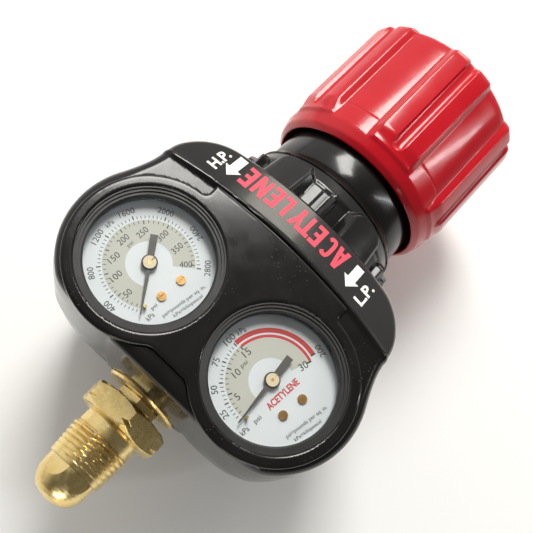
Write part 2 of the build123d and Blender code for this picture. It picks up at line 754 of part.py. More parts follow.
def plan_outline(taper, thickness=0.0):
    """Plan of the shroud: two gauge lobes, a flat rear and a squared front with round corners.

    The taper draws the outline in at a height, and the thickness draws in the inner skin.
    """
    inset = taper + thickness
    lobe = lobe_r - inset
    rear = rear_x + max(taper - 1.5, 0.0) + thickness
    rear_y = gauge_y - sqrt(lobe ** 2 - (lobe_x - rear) ** 2)
    waist = waist_y - inset
    side = shoulder_y - inset
    front = front_x - inset
    corner = front_corner_r - inset
    waist_x = lobe_x + sqrt(lobe ** 2 - (waist - gauge_y) ** 2)
    corner_x = front - front_sag - corner
    mid = radians(45 + 0.5 * degrees(atan2(waist - gauge_y, waist_x - lobe_x)))
    edges = []
    for mirror in (1, -1):
        rear_point = (rear, mirror * rear_y)
        rear_bend = (lobe_x - lobe * cos(pi / 4), mirror * (gauge_y + lobe * sin(pi / 4)))
        top = (lobe_x, mirror * (gauge_y + lobe))
        top_bend = (lobe_x + lobe * cos(mid), mirror * (gauge_y + lobe * sin(mid)))
        waist_point = (waist_x, mirror * waist)
        side_point = (corner_x, mirror * side)
        turn = corner * sin(pi / 4)
        corner_bend = (corner_x + turn, mirror * (side - corner + turn))
        corner_end = (corner_x + corner, mirror * (side - corner))
        edges.append(Line((rear, 0), rear_point))
        edges.append(ThreePointArc(rear_point, rear_bend, top))
        edges.append(ThreePointArc(top, top_bend, waist_point))
        edges.append(Line(waist_point, side_point))
        edges.append(ThreePointArc(side_point, corner_bend, corner_end))
        edges.append(Line(corner_end, (front, 0)))
    return make_face(edges)


def roof(inset):
    """Space under the sloping, slightly crowned band at the front."""
    barrel = rod_x(roof_r - inset, -200, 200)
    return Pos(face_edge_x, 0, face_z) * Rot(0, roof_slope, 0) * Pos(0, 0, -roof_r) * barrel


def skin(thickness=0.0):
    """Solid under the shroud's outer or inner skin, lofted between its levels."""
    solid = None
    for (z0, taper0), (z1, taper1) in zip(skin_levels, skin_levels[1:]):
        low = Pos(0, 0, z0) * plan_outline(taper0, thickness)
        high = Pos(0, 0, z1) * plan_outline(taper1, thickness)
        slab = loft([low, high], ruled=True)
        solid = slab if solid is None else solid + slab
    return solid


def above(z):
    """Half space over a height, as a large block."""
    return block(-50, 250, -100, 100, z, 200)


def bonnet_opening(gap):
    """Round way for the spring case through the front wall."""
    return rod_x(cap_r + gap, 86, 130)


def band_x(y, gap=0.0):
    """Where the band's curved inner edge lies at a distance from the middle."""
    return band_edge_x - gap - band_edge_sag * (y / band_half_y) ** 2


def behind_band():
    """Plan of everything on the gauges' side of the band's inner edge."""
    low, high = (band_x(band_half_y), -band_half_y), (band_x(band_half_y), band_half_y)
    return make_face([ThreePointArc(low, (band_x(0), 0), high), Line(high, (0, band_half_y)),
                      Line((0, band_half_y), (0, -band_half_y)), Line((0, -band_half_y), low)])


def face_area(grow):
    """Plan of the separate face plate: round both gauges and up to the band."""
    plate = Pos(gauge_x, gauge_y) * Circle(ring_r + grow)
    plate += Pos(gauge_x, -gauge_y) * Circle(ring_r + grow)
    half = notch_y + grow
    front = band_x(half, 0.4 - grow)
    back = gauge_x - 19 - grow
    low, high = (front, -half), (front, half)
    middle = make_face([
        ThreePointArc(low, (band_x(0, 0.4 - grow), 0), high), Line(high, (gauge_x, half)),
        Line((gauge_x, half), (back, 11)), Line((back, 11), (back, -11)),
        Line((back, -11), (gauge_x, -half)), Line((gauge_x, -half), low)])
    return plate + middle


def face_plate():
    """Glossy plate round the two gauge openings."""
    plate = Pos(0, 0, face_z - face_thickness) * extrude(face_area(0), face_thickness)
    for _, side, _, _ in GAUGES:
        plate -= rod_z(gauge_hole_r, 40, 50, gauge_x, side * gauge_y)
    return plate


def post_web(x, y, z0, z1):
    """Thin web that ties a screw post to the nearest wall."""
    if x < gauge_x:
        return block(rear_x + 1, x, y - 1, y + 1, z0, z1)
    return block(x - 1, x + 1, min(y, copysign(waist_y, y)), max(y, copysign(waist_y, y)), z0, z1)


def shroud_cover():
    """Upper shell: side walls, sloping band and the pocket for the face plate."""
    outer = skin() & roof(0) & above(split_z)
    inner = (skin(wall) & roof(wall)) - above(face_z - face_thickness - 2.0)
    shell = outer - inner
    shell -= Pos(0, 0, shoulder_z) * extrude(behind_band(), 10)
    shell -= Pos(0, 0, face_z - face_thickness - 0.02) * extrude(face_area(0.15), 10)
    for _, side, _, _ in GAUGES:
        shell -= rod_z(case_r + free_gap, 30, 60, gauge_x, side * gauge_y)
    shell -= bonnet_opening(free_gap)
    shell -= rod_x(14.2 + free_gap, 20, 40)
    for x, y in screw_places:
        shell += (rod_z(3.6, split_z, 17.4, x, y) + post_web(x, y, split_z, 17.4)) & outer
        shell -= rod_z(screw_shank_r + 0.02, split_z - 1, 14, x, y)
    return shell


def shroud_base():
    """Lower shell, closed underneath, with ways for the outlet and the relief valve."""
    outer = skin() - above(split_z - 0.05)
    inner = skin(wall) & above(floor_z + wall)
    shell = outer - inner
    for x, y in screw_places:
        shell += rod_z(4.6, floor_z, split_z - 0.05, x, y) & outer
    for x, y in screw_places:
        shell -= rod_z(screw_head_r + 0.3, floor_z - 1, -12, x, y)
        shell -= rod_z(screw_shank_r + 0.3, floor_z - 1, 0, x, y)
    shell -= bonnet_opening(free_gap)
    shell -= rod_x(14.2 + free_gap, 20, 40)
    shell -= rod_z(12.0 + free_gap, floor_z - 1, 0, outlet_x, 0)
    return shell - rod_z(8.6, floor_z - 1, 0, relief_x, relief_y)


def shroud_screws():
    """Four screws that hold the base to the cover."""
    screws = []
    for x, y in screw_places:
        screw = rod_z(screw_shank_r, -12.2, 8.0, x, y)
        screw += rod_z(screw_head_r, -14.4, -12.05, x, y)
        screws.append(screw - block(x - 1.8, x + 1.8, y - 0.4, y + 0.4, -15, -13.6))
    return screws


SINGLE_PARTS = {
    "inlet_nut": inlet_nut, "inlet_nipple": inlet_nipple, "inlet_filter": inlet_filter,
    "regulator_body": regulator_body, "seat_nozzle": seat_nozzle, "valve_stem": valve_stem,
    "valve_spring": valve_spring, "diaphragm": diaphragm, "diaphragm_plate": diaphragm_plate,
    "diaphragm_slip_ring": diaphragm_slip_ring, "bonnet": bonnet, "bonnet_collar": bonnet_collar,
    "adjusting_spring": adjusting_spring, "spring_button": spring_button,
    "thrust_ball": thrust_ball, "thread_insert": thread_insert,
    "adjusting_screw": adjusting_screw, "knob": knob, "knob_cap": knob_cap,
    "knob_screw": knob_screw, "outlet_fitting": outlet_fitting, "relief_body": relief_body,
    "relief_poppet": relief_poppet, "relief_spring": relief_spring,
    "shroud_cover": shroud_cover, "face_plate": face_plate, "shroud_base": shroud_base,
    "shroud_screws": shroud_screws,
}


def write(name, shape):
    """Write one node as parts/NAME.step."""
    if isinstance(shape, (list, ShapeList)):
        solids = [solid for piece in shape for solid in piece.solids()]
    else:
        solids = list(shape.solids())
    whole = solids[0] if len(solids) == 1 else Compound(children=solids)
    whole.label = name
    export_step(whole, f"parts/{name}.step")


os.makedirs("parts", exist_ok=True)
for name, make in SINGLE_PARTS.items():
    write(name, make())
for prefix, side, turn, zero in GAUGES:
    place = Pos(gauge_x, side * gauge_y, 0) * Rot(0, 0, turn)
    made = {name: make() for name, make in GAUGE_PARTS.items()}
    made |= {name: make(zero) for name, make in ZEROED_PARTS.items()}
    for name, shape in made.items():
        pieces = shape if isinstance(shape, list) else [shape]
        write(f"{prefix}_{name}", [place * piece for piece in pieces])
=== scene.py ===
import json
import math

import bmesh
import bpy
import numpy as np
from mathutils import Matrix, Vector

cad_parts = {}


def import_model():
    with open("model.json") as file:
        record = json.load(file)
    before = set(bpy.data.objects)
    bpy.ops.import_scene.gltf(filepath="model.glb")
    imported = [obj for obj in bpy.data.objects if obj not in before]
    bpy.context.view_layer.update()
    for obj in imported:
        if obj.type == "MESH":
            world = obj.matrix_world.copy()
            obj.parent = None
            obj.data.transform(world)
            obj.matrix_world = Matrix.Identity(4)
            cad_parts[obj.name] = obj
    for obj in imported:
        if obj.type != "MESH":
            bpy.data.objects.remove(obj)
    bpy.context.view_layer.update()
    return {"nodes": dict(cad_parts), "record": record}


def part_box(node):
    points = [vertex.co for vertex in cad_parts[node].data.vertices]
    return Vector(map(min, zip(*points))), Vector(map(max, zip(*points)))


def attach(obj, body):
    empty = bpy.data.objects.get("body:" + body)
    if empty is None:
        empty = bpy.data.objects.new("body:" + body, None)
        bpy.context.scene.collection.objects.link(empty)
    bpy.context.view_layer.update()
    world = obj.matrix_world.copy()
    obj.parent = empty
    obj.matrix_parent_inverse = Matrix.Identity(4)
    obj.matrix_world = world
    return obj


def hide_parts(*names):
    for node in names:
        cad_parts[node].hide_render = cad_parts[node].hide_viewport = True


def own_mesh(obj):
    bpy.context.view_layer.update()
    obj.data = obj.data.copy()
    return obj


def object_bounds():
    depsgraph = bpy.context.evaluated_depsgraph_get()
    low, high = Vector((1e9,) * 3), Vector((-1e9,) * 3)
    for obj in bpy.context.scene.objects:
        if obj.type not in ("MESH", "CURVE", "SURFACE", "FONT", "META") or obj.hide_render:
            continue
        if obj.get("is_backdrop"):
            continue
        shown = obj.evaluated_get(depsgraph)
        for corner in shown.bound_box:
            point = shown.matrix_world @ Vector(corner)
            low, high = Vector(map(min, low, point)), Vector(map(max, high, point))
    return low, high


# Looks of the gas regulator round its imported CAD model. Shapes are worked out in millimetres
# and written in metres, in the row's frame: +X towards the knob, +Z out of the gauge faces.

MM = 0.001
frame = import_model()
scene = bpy.context.scene
scene.view_settings.view_transform = "Standard"


def mm_box(node):
    """Low and high corners of a CAD node in millimetres."""
    low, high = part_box(node)
    return np.array(low) * 1000.0, np.array(high) * 1000.0


# ---- materials ----------------------------------------------------------------------------

class Nodes:
    """A material's node tree with short calls for the nodes that the finishes share."""

    def __init__(self, name, color, roughness, metallic=0.0):
        self.material = bpy.data.materials.new(name)
        self.material.use_nodes = True
        self.material.diffuse_color = (*color, 1.0)
        self.tree = self.material.node_tree
        self.shader = self.tree.nodes["Principled BSDF"]
        self.shader.inputs["Base Color"].default_value = (*color, 1.0)
        self.shader.inputs["Roughness"].default_value = roughness
        self.shader.inputs["Metallic"].default_value = metallic
        self.coords = self.tree.nodes.new("ShaderNodeTexCoord").outputs["Object"]

    def add(self, kind, **values):
        node = self.tree.nodes.new(kind)
        for key, value in values.items():
            setattr(node, key, value)
        return node

    def link(self, source, target):
        self.tree.links.new(source, target)

    def mapped(self, scale):
        """Object coordinates in units of 1/scale millimetres, per axis."""
        node = self.add("ShaderNodeMapping")
        node.inputs["Scale"].default_value = [1000.0 * s for s in scale]
        self.link(self.coords, node.inputs["Vector"])
        return node.outputs["Vector"]

    def noise(self, per_mm, detail=3.0, roughness=0.55, stretch=(1, 1, 1), distortion=0.0):
        node = self.add("ShaderNodeTexNoise")
        node.inputs["Scale"].default_value = 1.0
        node.inputs["Detail"].default_value = detail
        node.inputs["Roughness"].default_value = roughness
        node.inputs["Distortion"].default_value = distortion
        self.link(self.mapped([per_mm * s for s in stretch]), node.inputs["Vector"])
        return node.outputs["Fac"]

    def cells(self, per_mm, randomness=1.0):
        node = self.add("ShaderNodeTexVoronoi")
        node.inputs["Scale"].default_value = 1.0
        node.inputs["Randomness"].default_value = randomness
        self.link(self.mapped([per_mm] * 3), node.inputs["Vector"])
        return node.outputs["Distance"]

    def ramp(self, source, low, high, at_low, at_high):
        node = self.add("ShaderNodeMapRange")
        node.inputs["From Min"].default_value = low
        node.inputs["From Max"].default_value = high
        node.inputs["To Min"].default_value = at_low
        node.inputs["To Max"].default_value = at_high
        self.link(source, node.inputs["Value"])
        return node.outputs["Result"]

    def math(self, operation, a, b):
        node = self.add("ShaderNodeMath", operation=operation)
        for socket, value in zip(node.inputs, (a, b)):
            if isinstance(value, (int, float)):
                socket.default_value = value
            else:
                self.link(value, socket)
        return node.outputs[0]

    def mix(self, factor, a, b):
        node = self.add("ShaderNodeMix", data_type="RGBA")
        self.link(factor, node.inputs["Factor"])
        for name, value in (("A", a), ("B", b)):
            socket = [s for s in node.inputs if s.name == name and s.type == "RGBA"][0]
            if isinstance(value, tuple):
                socket.default_value = (*value, 1.0)
            else:
                self.link(value, socket)
        return [s for s in node.outputs if s.type == "RGBA"][0]

    def color(self, source):
        self.link(source, self.shader.inputs["Base Color"])

    def roughness(self, source):
        self.link(source, self.shader.inputs["Roughness"])

    def bump(self, *layers):
        """Bump from (height source, depth in mm) layers."""
        normal = None
        for height, depth in layers:
            node = self.add("ShaderNodeBump")
            node.inputs["Distance"].default_value = depth * MM
            node.inputs["Strength"].default_value = 1.0
            self.link(height, node.inputs["Height"])
            if normal is not None:
                self.link(normal, node.inputs["Normal"])
            normal = node.outputs["Normal"]
        self.link(normal, self.shader.inputs["Normal"])


def metal(name, dark, light, rough_low, rough_high, grain=1.2, lines=None):
    """Bare metal: two tones, patchy roughness, fine grain and optional turning marks along X."""
    m = Nodes(name, light, rough_low, 1.0)
    patches = m.noise(0.12, 4.0)
    m.color(m.mix(m.ramp(patches, 0.35, 0.65, 0.0, 1.0), dark, light))
    m.roughness(m.ramp(m.noise(0.5, 5.0, 0.65), 0.3, 0.7, rough_low, rough_high))
    layers = [(m.noise(grain, 4.0, 0.6), 0.012), (m.noise(0.16, 2.0), 0.05)]
    if lines:
        layers.append((m.noise(1.0, 2.0, 0.5, stretch=lines), 0.006))
    m.bump(*layers)
    return m.material


def moulded(name, color, rough_low, rough_high, grain_depth, coat=0.0, dust=0.0, tone=0.25,
             shine=0.5):
    """Moulded or painted surface with slow tone changes, faint waviness and specks of dust."""
    m = Nodes(name, color, rough_low)
    other = tuple(c * (1.0 + tone) + 0.002 for c in color)
    base = m.mix(m.ramp(m.noise(0.05, 3.0), 0.35, 0.65, 0.0, 1.0), color, other)
    rough = m.ramp(m.noise(0.09, 5.0, 0.6, distortion=0.4), 0.3, 0.7, rough_low, rough_high)
    if dust:
        specks = m.ramp(m.cells(0.9), 0.055, 0.11, 1.0, 0.0)
        thin = m.math("MULTIPLY", specks, m.ramp(m.noise(0.07, 2.0), 0.5, 0.6, 0.0, dust))
        base = m.mix(thin, base, (0.42, 0.41, 0.38))
        rough = m.math("ADD", rough, m.math("MULTIPLY", thin, 0.4))
    m.color(base)
    m.roughness(rough)
    m.shader.inputs["Coat Weight"].default_value = coat
    m.shader.inputs["Specular IOR Level"].default_value = shine
    m.shader.inputs["Coat Roughness"].default_value = 0.06
    m.bump((m.noise(2.2, 3.0, 0.6), grain_depth), (m.noise(0.14, 2.0), grain_depth * 3))
    return m.material


def printed(name, color):
    """Screen-printed ink with slightly uneven cover."""
    m = Nodes(name, color, 0.5)
    thin = tuple(min(1.0, c * 1.12 + 0.02) for c in color)
    m.color(m.mix(m.ramp(m.noise(3.0, 4.0, 0.7), 0.45, 0.75, 0.0, 1.0), color, thin))
    m.roughness(m.ramp(m.noise(1.5, 3.0), 0.3, 0.7, 0.42, 0.6))
    m.bump((m.noise(5.0, 2.0), 0.003))
    return m.material


def dial_paint():
    """White dial: faintly blue, with a soft sheen and very fine grain."""
    m = Nodes("dial_white", (0.80, 0.82, 0.84), 0.42)
    m.color(m.mix(m.ramp(m.noise(0.1, 3.0), 0.3, 0.7, 0.0, 1.0), (0.79, 0.815, 0.84), (0.82, 0.835, 0.85)))
    m.roughness(m.ramp(m.noise(1.0, 4.0), 0.3, 0.7, 0.36, 0.5))
    m.bump((m.noise(4.0, 3.0), 0.004))
    return m.material


def lens_glass():
    """Clear window: what it doesn't mirror goes straight through."""
    m = Nodes("lens_clear", (0.95, 0.97, 0.98), 0.03)
    tree = m.tree
    tree.nodes.remove(m.shader)
    out = [n for n in tree.nodes if n.type == "OUTPUT_MATERIAL"][0]
    clear = m.add("ShaderNodeBsdfTransparent")
    clear.inputs["Color"].default_value = (0.97, 0.98, 0.98, 1.0)
    gloss = m.add("ShaderNodeBsdfGlossy")
    gloss.inputs["Color"].default_value = (0.9, 0.95, 1.0, 1.0)
    gloss.inputs["Roughness"].default_value = 0.05
    facing = m.add("ShaderNodeLayerWeight")
    facing.inputs["Blend"].default_value = 0.5
    grazing = m.math("POWER", facing.outputs["Facing"], 5.0)
    mirror = m.math("MULTIPLY_ADD", grazing, 0.95)
    mirror.node.inputs[2].default_value = 0.024
    bump = m.add("ShaderNodeBump")
    bump.inputs["Distance"].default_value = 0.01 * MM
    m.link(m.noise(0.15, 2.0), bump.inputs["Height"])
    m.link(bump.outputs["Normal"], gloss.inputs["Normal"])
    mixed = m.add("ShaderNodeMixShader")
    m.link(mirror, mixed.inputs[0])
    m.link(clear.outputs[0], mixed.inputs[1])
    m.link(gloss.outputs[0], mixed.inputs[2])
    m.link(mixed.outputs[0], out.inputs["Surface"])
    return m.material


FINISHES = {
    "brass": metal("brass", (0.80, 0.60, 0.24), (0.92, 0.74, 0.36), 0.2, 0.36, lines=(3.0, 0.2, 0.2)),
    "bronze": metal("bronze", (0.40, 0.24, 0.10), (0.55, 0.36, 0.17), 0.35, 0.6, grain=2.0),
    "steel": metal("steel", (0.45, 0.45, 0.45), (0.62, 0.62, 0.61), 0.2, 0.4, lines=(2.0, 0.3, 0.3)),
    "spring_steel": metal("spring_steel", (0.28, 0.28, 0.29), (0.42, 0.42, 0.44), 0.28, 0.45),
    "aluminium": metal("aluminium", (0.62, 0.62, 0.63), (0.78, 0.78, 0.79), 0.25, 0.45),
    "gear_brass": metal("gear_brass", (0.46, 0.29, 0.11), (0.62, 0.42, 0.18), 0.28, 0.45),
    "screw_brass": metal("screw_brass", (0.36, 0.20, 0.07), (0.52, 0.31, 0.12), 0.3, 0.45),
    "black_gloss": moulded("black_gloss", (0.006, 0.0055, 0.005), 0.10, 0.22, 0.004, 0.2, 0.4,
                           shine=0.3),
    "black_satin": moulded("black_satin", (0.006, 0.0055, 0.005), 0.16, 0.28, 0.006, 0.15, shine=0.35),
    "black_plastic": moulded("black_plastic", (0.012, 0.012, 0.012), 0.38, 0.55, 0.02),
    "case_black": moulded("case_black", (0.008, 0.008, 0.008), 0.25, 0.4, 0.01),
    "red_plastic": moulded("red_plastic", (0.46, 0.004, 0.012), 0.13, 0.22, 0.005, 0.2, 0.0, 0.1,
                           shine=0.4),
    "rubber": moulded("rubber", (0.03, 0.03, 0.03), 0.6, 0.8, 0.05),
    "dial_white": dial_paint(),
    "pointer_grey": moulded("pointer_grey", (0.085, 0.075, 0.068), 0.4, 0.55, 0.004),
    "lens_clear": lens_glass(),
}
INK_BLACK = printed("ink_black", (0.035, 0.032, 0.03))
INK_TINT = printed("ink_tint", (0.58, 0.57, 0.50))
INK_RED = printed("ink_red", (0.62, 0.045, 0.04))
BAND_RED = printed("band_red", (0.80, 0.05, 0.09))
BAND_WHITE = printed("band_white", (0.80, 0.80, 0.77))
HUB_CREAM = printed("hub_cream", (0.78, 0.64, 0.42))

slot_of = {s["node"]: s["material_slot"] for s in frame["record"]["subparts"]}
for node_name, node_object in frame["nodes"].items():
    node_object.data.materials.clear()
    finish = "screw_brass" if node_name.endswith("_dial_screws") else slot_of[node_name]
    node_object.data.materials.append(FINISHES[finish])


# ---- mesh helpers ------------------------------------------------------------------------------

def make_piece(name, verts, faces, material, body, slot=None, replaces=(), sharp=32.0):
    """A mesh object from millimetre points, on a CAD body."""
    mesh = bpy.data.meshes.new(name)
    mesh.from_pydata((np.asarray(verts, float) * MM).tolist(), [], faces)
    mesh.update()
    bm = bmesh.new()
    bm.from_mesh(mesh)
    bmesh.ops.remove_doubles(bm, verts=bm.verts, dist=1e-7)
    bmesh.ops.recalc_face_normals(bm, faces=bm.faces)
    bm.to_mesh(mesh)
    bm.free()
    mesh.shade_smooth()
    mesh.set_sharp_from_angle(angle=math.radians(sharp))
    mesh.materials.append(material)
    piece = bpy.data.objects.new(name, mesh)
    scene.collection.objects.link(piece)
    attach(piece, body)
    if replaces:
        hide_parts(*replaces)
    return piece


def smooth(low, high, value):
    """Smooth step from 0 at low to 1 at high."""
    t = np.clip((value - low) / (high - low), 0.0, 1.0)
    return t * t * (3.0 - 2.0 * t)


def divided(points):
    """(x, r) points from (x, r, longest step of the run that ends there) points."""
    out = [points[0][:2]]
    for (x0, r0, _), (x1, r1, step) in zip(points, points[1:]):
        count = max(1, int(math.ceil(math.hypot(x1 - x0, r1 - r0) / step)))
        out += [(x0 + (x1 - x0) * n / count, r0 + (r1 - r0) * n / count) for n in range(1, count + 1)]
    return np.array(out)


def turned(name, outer, inner, around, radius, material, body, slot, replaces, sharp=32.0):
    """Closed body round X: outer points shaped by radius(x, r, angle), inner points plain."""
    outer_points = divided(outer)
    inner_points = divided([(*outer[-1][:2], 1)] + inner + [(*outer[0][:2], 100)])[1:-1]
    angle = np.arange(around) * 2 * np.pi / around
    x = np.concatenate([outer_points[:, 0], inner_points[:, 0]])
    grid_r = np.repeat(np.concatenate([outer_points[:, 1], inner_points[:, 1]])[:, None], around, 1)
    grid_x = np.repeat(x[:, None], around, 1)
    count = len(outer_points)
    grid_r[:count] = radius(grid_x[:count], grid_r[:count], np.degrees(angle)[None, :])
    y, z = grid_r * np.sin(angle), grid_r * np.cos(angle)
    verts = np.stack([grid_x, y, z], -1).reshape(-1, 3)
    rows = len(x)
    faces = []
    for i in range(rows):
        j = (i + 1) % rows
        for k in range(around):
            m = (k + 1) % around
            faces.append((i * around + k, i * around + m, j * around + m, j * around + k))
    return make_piece(name, verts, faces, material, body, slot, replaces, sharp)


def wrapped(angle, period):
    """Angle brought to within half a period of zero."""
    return (angle + period / 2) % period - period / 2


SURFACE_PASSES = 4


def net(field, low, high, step):
    """Closed quad mesh of field < 0 inside a box, its points moved on to the surface."""
    axes = [np.arange(a - step, b + 2 * step, step) for a, b in zip(low, high)]
    x, y, z = np.meshgrid(*axes, indexing="ij", sparse=True)
    value = np.broadcast_to(field(x, y, z), [len(a) for a in axes]).astype(np.float32)
    inside = value < 0
    shape = [n - 1 for n in inside.shape]
    corner = [(i, j, k) for i in (0, 1) for j in (0, 1) for k in (0, 1)]

    def part(array, c):
        return array[c[0]:c[0] + shape[0], c[1]:c[1] + shape[1], c[2]:c[2] + shape[2]]

    total = sum(part(inside, c).astype(np.int8) for c in corner)
    active = (total > 0) & (total < 8)
    index = -np.ones(shape, np.int64)
    index[active] = np.arange(active.sum())
    spot = np.zeros((active.sum(), 3))
    hits = np.zeros(active.sum())
    for a in range(8):
        for b in range(a + 1, 8):
            ca, cb = corner[a], corner[b]
            if sum(abs(p - q) for p, q in zip(ca, cb)) != 1:
                continue
            va, vb = part(value, ca)[active], part(value, cb)[active]
            cross = (va < 0) != (vb < 0)
            t = np.where(cross, va / np.where(cross, va - vb, 1.0), 0.0)
            point = np.array(ca)[None, :] + t[:, None] * (np.array(cb) - np.array(ca))[None, :]
            spot += np.where(cross[:, None], point, 0.0)
            hits += cross
    cell = np.argwhere(active)
    verts = (cell + spot / hits[:, None]) * step + np.array([a[0] for a in axes])
    h = 0.02
    for _ in range(SURFACE_PASSES):
        p = [verts[:, n] for n in range(3)]
        v = field(*p)
        g = np.stack([field(p[0] + h, p[1], p[2]) - v, field(p[0], p[1] + h, p[2]) - v,
                      field(p[0], p[1], p[2] + h) - v], -1) / h
        size = np.maximum((g * g).sum(-1), 0.25)
        move = g * (v / size)[:, None]
        verts = verts - np.clip(move, -step / 2, step / 2)
    faces = []
    for axis in range(3):
        u, w = [n for n in range(3) if n != axis]
        first = [slice(None)] * 3
        second = [slice(None)] * 3
        first[axis], second[axis] = slice(0, -1), slice(1, None)
        change = inside[tuple(first)] != inside[tuple(second)]
        at = np.argwhere(change)
        above = (at[:, u] > 0) & (at[:, w] > 0)
        below = (at[:, u] < inside.shape[u] - 1) & (at[:, w] < inside.shape[w] - 1)
        at = at[above & below]
        quad = []
        for du, dw in ((-1, -1), (0, -1), (0, 0), (-1, 0)):
            c = at.copy()
            c[:, u] += du
            c[:, w] += dw
            quad.append(index[c[:, 0], c[:, 1], c[:, 2]])
        faces += np.stack(quad, -1).tolist()
    return verts, faces


def rounded(a, b, r):
    """Both a and b negative, with the edge between them rounded to radius r."""
    inner = np.minimum(-r, np.maximum(a, b))
    return inner + np.hypot(np.maximum(r + a, 0), np.maximum(r + b, 0))


def blended(a, b, r):
    """Either a or b negative, with the corner between them filled to about radius r."""
    return -rounded(-a, -b, r)


# ---- shroud ----------------------------------------------------------------------------------------

GAUGE_X, GAUGE_Y = 56.0, 25.5
LOBE_X, LOBE_R = 57.6, 29.6
REAR_X, FRONT_X = 30.9, 107.6
FRONT_CORNER, FRONT_SAG = 18.5, 3.0
WAIST_Y, SHOULDER_Y = 47.0, 48.2
WALL = 2.5
FACE_Z, FACE_EDGE_X = 46.8, 90.0
PLATE_Z = 44.5
SHOULDER_Z = 45.2
SPLIT_Z, SPLIT_GAP, FLOOR_Z = -2.0, 0.05, -34.0
ROOF_SLOPE, ROOF_R = math.radians(24.4), 300.0
BAND_X, BAND_SAG, BAND_HALF = 89.3, 6.0, 52.0
HOLE_R, RING_R = 22.6, 26.3
CASE_WAY_R, CASE_WAY_X = 36.4, 86.0
INLET_WAY_R, INLET_WAY_X = 14.6, 40.0
OUTLET_X, OUTLET_WAY_R = 76.0, 12.4
RELIEF_X, RELIEF_Y, RELIEF_WAY_R = 80.0, 22.0, 8.6
REAR_POST, FRONT_POST = (41.0, 32.0), (81.0, 35.0)
POST_R, POST_TOP, PILOT_R, PILOT_TOP = 3.4, 17.4, 1.42, 13.0
BASE_POST_R, SCREW_HOLE_R, HEAD_HOLE_R, HEAD_SEAT_Z = 4.6, 1.7, 3.1, -12.0
WEB_HALF = 1.0
BAND_TOP_Z, CEILING_Z = 47.2, 42.2
POCKET_GROW, POCKET_Z = -0.5, 44.47
GAUGE_WAY_R, GAUGE_WAY_Z = 22.0, 30
BETWEEN_Y = 20.0
TAPER = ((-34, 7.6), (-29, 6.0), (-2, 2.2), (14, 0.0), (34, 0.0), (42, 0.5), (46.5, 1.6))


def band_x(y):
    """Where the band's inner edge lies."""
    return BAND_X - BAND_SAG * (y / BAND_HALF) ** 2


def plan(x, y, inset):
    """Distance outside the shroud's plan, drawn in by inset."""
    ay = np.sqrt(y * y + 0.01)
    lobe = np.hypot(x - LOBE_X, ay - GAUGE_Y) - LOBE_R
    corner_x = FRONT_X - FRONT_SAG - FRONT_CORNER
    waist_x = LOBE_X + math.sqrt(LOBE_R ** 2 - (WAIST_Y - GAUGE_Y) ** 2)
    slope = (SHOULDER_Y - WAIST_Y) / (corner_x - waist_x)
    side = (ay - WAIST_Y - (x - waist_x) * slope) / math.hypot(1, slope)
    lean = FRONT_SAG / (SHOULDER_Y - FRONT_CORNER)
    front = (x - FRONT_X + ay * ay * lean / (SHOULDER_Y - FRONT_CORNER)) / math.hypot(1, lean)
    box = rounded(rounded(side, front, FRONT_CORNER), LOBE_X - x, 1.0)
    between = np.maximum(ay - BETWEEN_Y, x - LOBE_X)
    whole = np.minimum(blended(lobe, box, 6.0), between) + inset
    rear = REAR_X + np.maximum(inset - 1.5, 0) - x
    return rounded(whole, rear, 3.0)


def taper(z):
    """How far the side walls are drawn in at a height."""
    heights, insets = zip(*TAPER)
    return np.interp(z, heights, insets)


def roof(x, y, z):
    """Distance outside the band's crowned slope."""
    dx, dz = x - FACE_EDGE_X, z - FACE_Z
    height = dx * math.sin(ROOF_SLOPE) + dz * math.cos(ROOF_SLOPE)
    return np.sqrt(y * y + (height + ROOF_R) ** 2) - ROOF_R


def plate_plan(x, y, grow=0.0):
    """Distance outside the face plate's plan."""
    ay = np.sqrt(y * y + 0.01)
    ring = np.hypot(x - GAUGE_X, ay - GAUGE_Y) - RING_R - grow
    front = x - band_x(y) + 0.4 - grow
    side = ay - 27.5 - grow
    rear = GAUGE_X - 19.0 - x - grow
    middle = rounded(rounded(side, front, 0.5), rear + np.maximum(ay - 11, 0) * 1.2, 2.0)
    return blended(ring, middle, 1.2)


def gauge_distance(x, y):
    return np.hypot(x - GAUGE_X, np.abs(y) - GAUGE_Y)


def ways(x, y, z, solid):
    """The shroud without its ways for the spring case and the inlet boss."""
    from_axis = np.hypot(y, z)
    solid = np.maximum(solid, -np.maximum(from_axis - CASE_WAY_R, CASE_WAY_X - x))
    return np.maximum(solid, -np.maximum(from_axis - INLET_WAY_R, x - INLET_WAY_X))


def post_distance(x, y):
    """Distance from the axis of the nearest screw post."""
    ay = np.abs(y)
    return np.minimum(np.hypot(x - REAR_POST[0], ay - REAR_POST[1]),
                      np.hypot(x - FRONT_POST[0], ay - FRONT_POST[1]))


def post_web(x, y):
    """Distance outside the webs that tie the posts to the walls."""
    ay = np.abs(y)
    rear = np.maximum(np.abs(ay - REAR_POST[1]) - WEB_HALF, x - REAR_POST[0])
    front = np.maximum(np.abs(x - FRONT_POST[0]) - WEB_HALF, FRONT_POST[1] - ay)
    return np.minimum(rear, front)


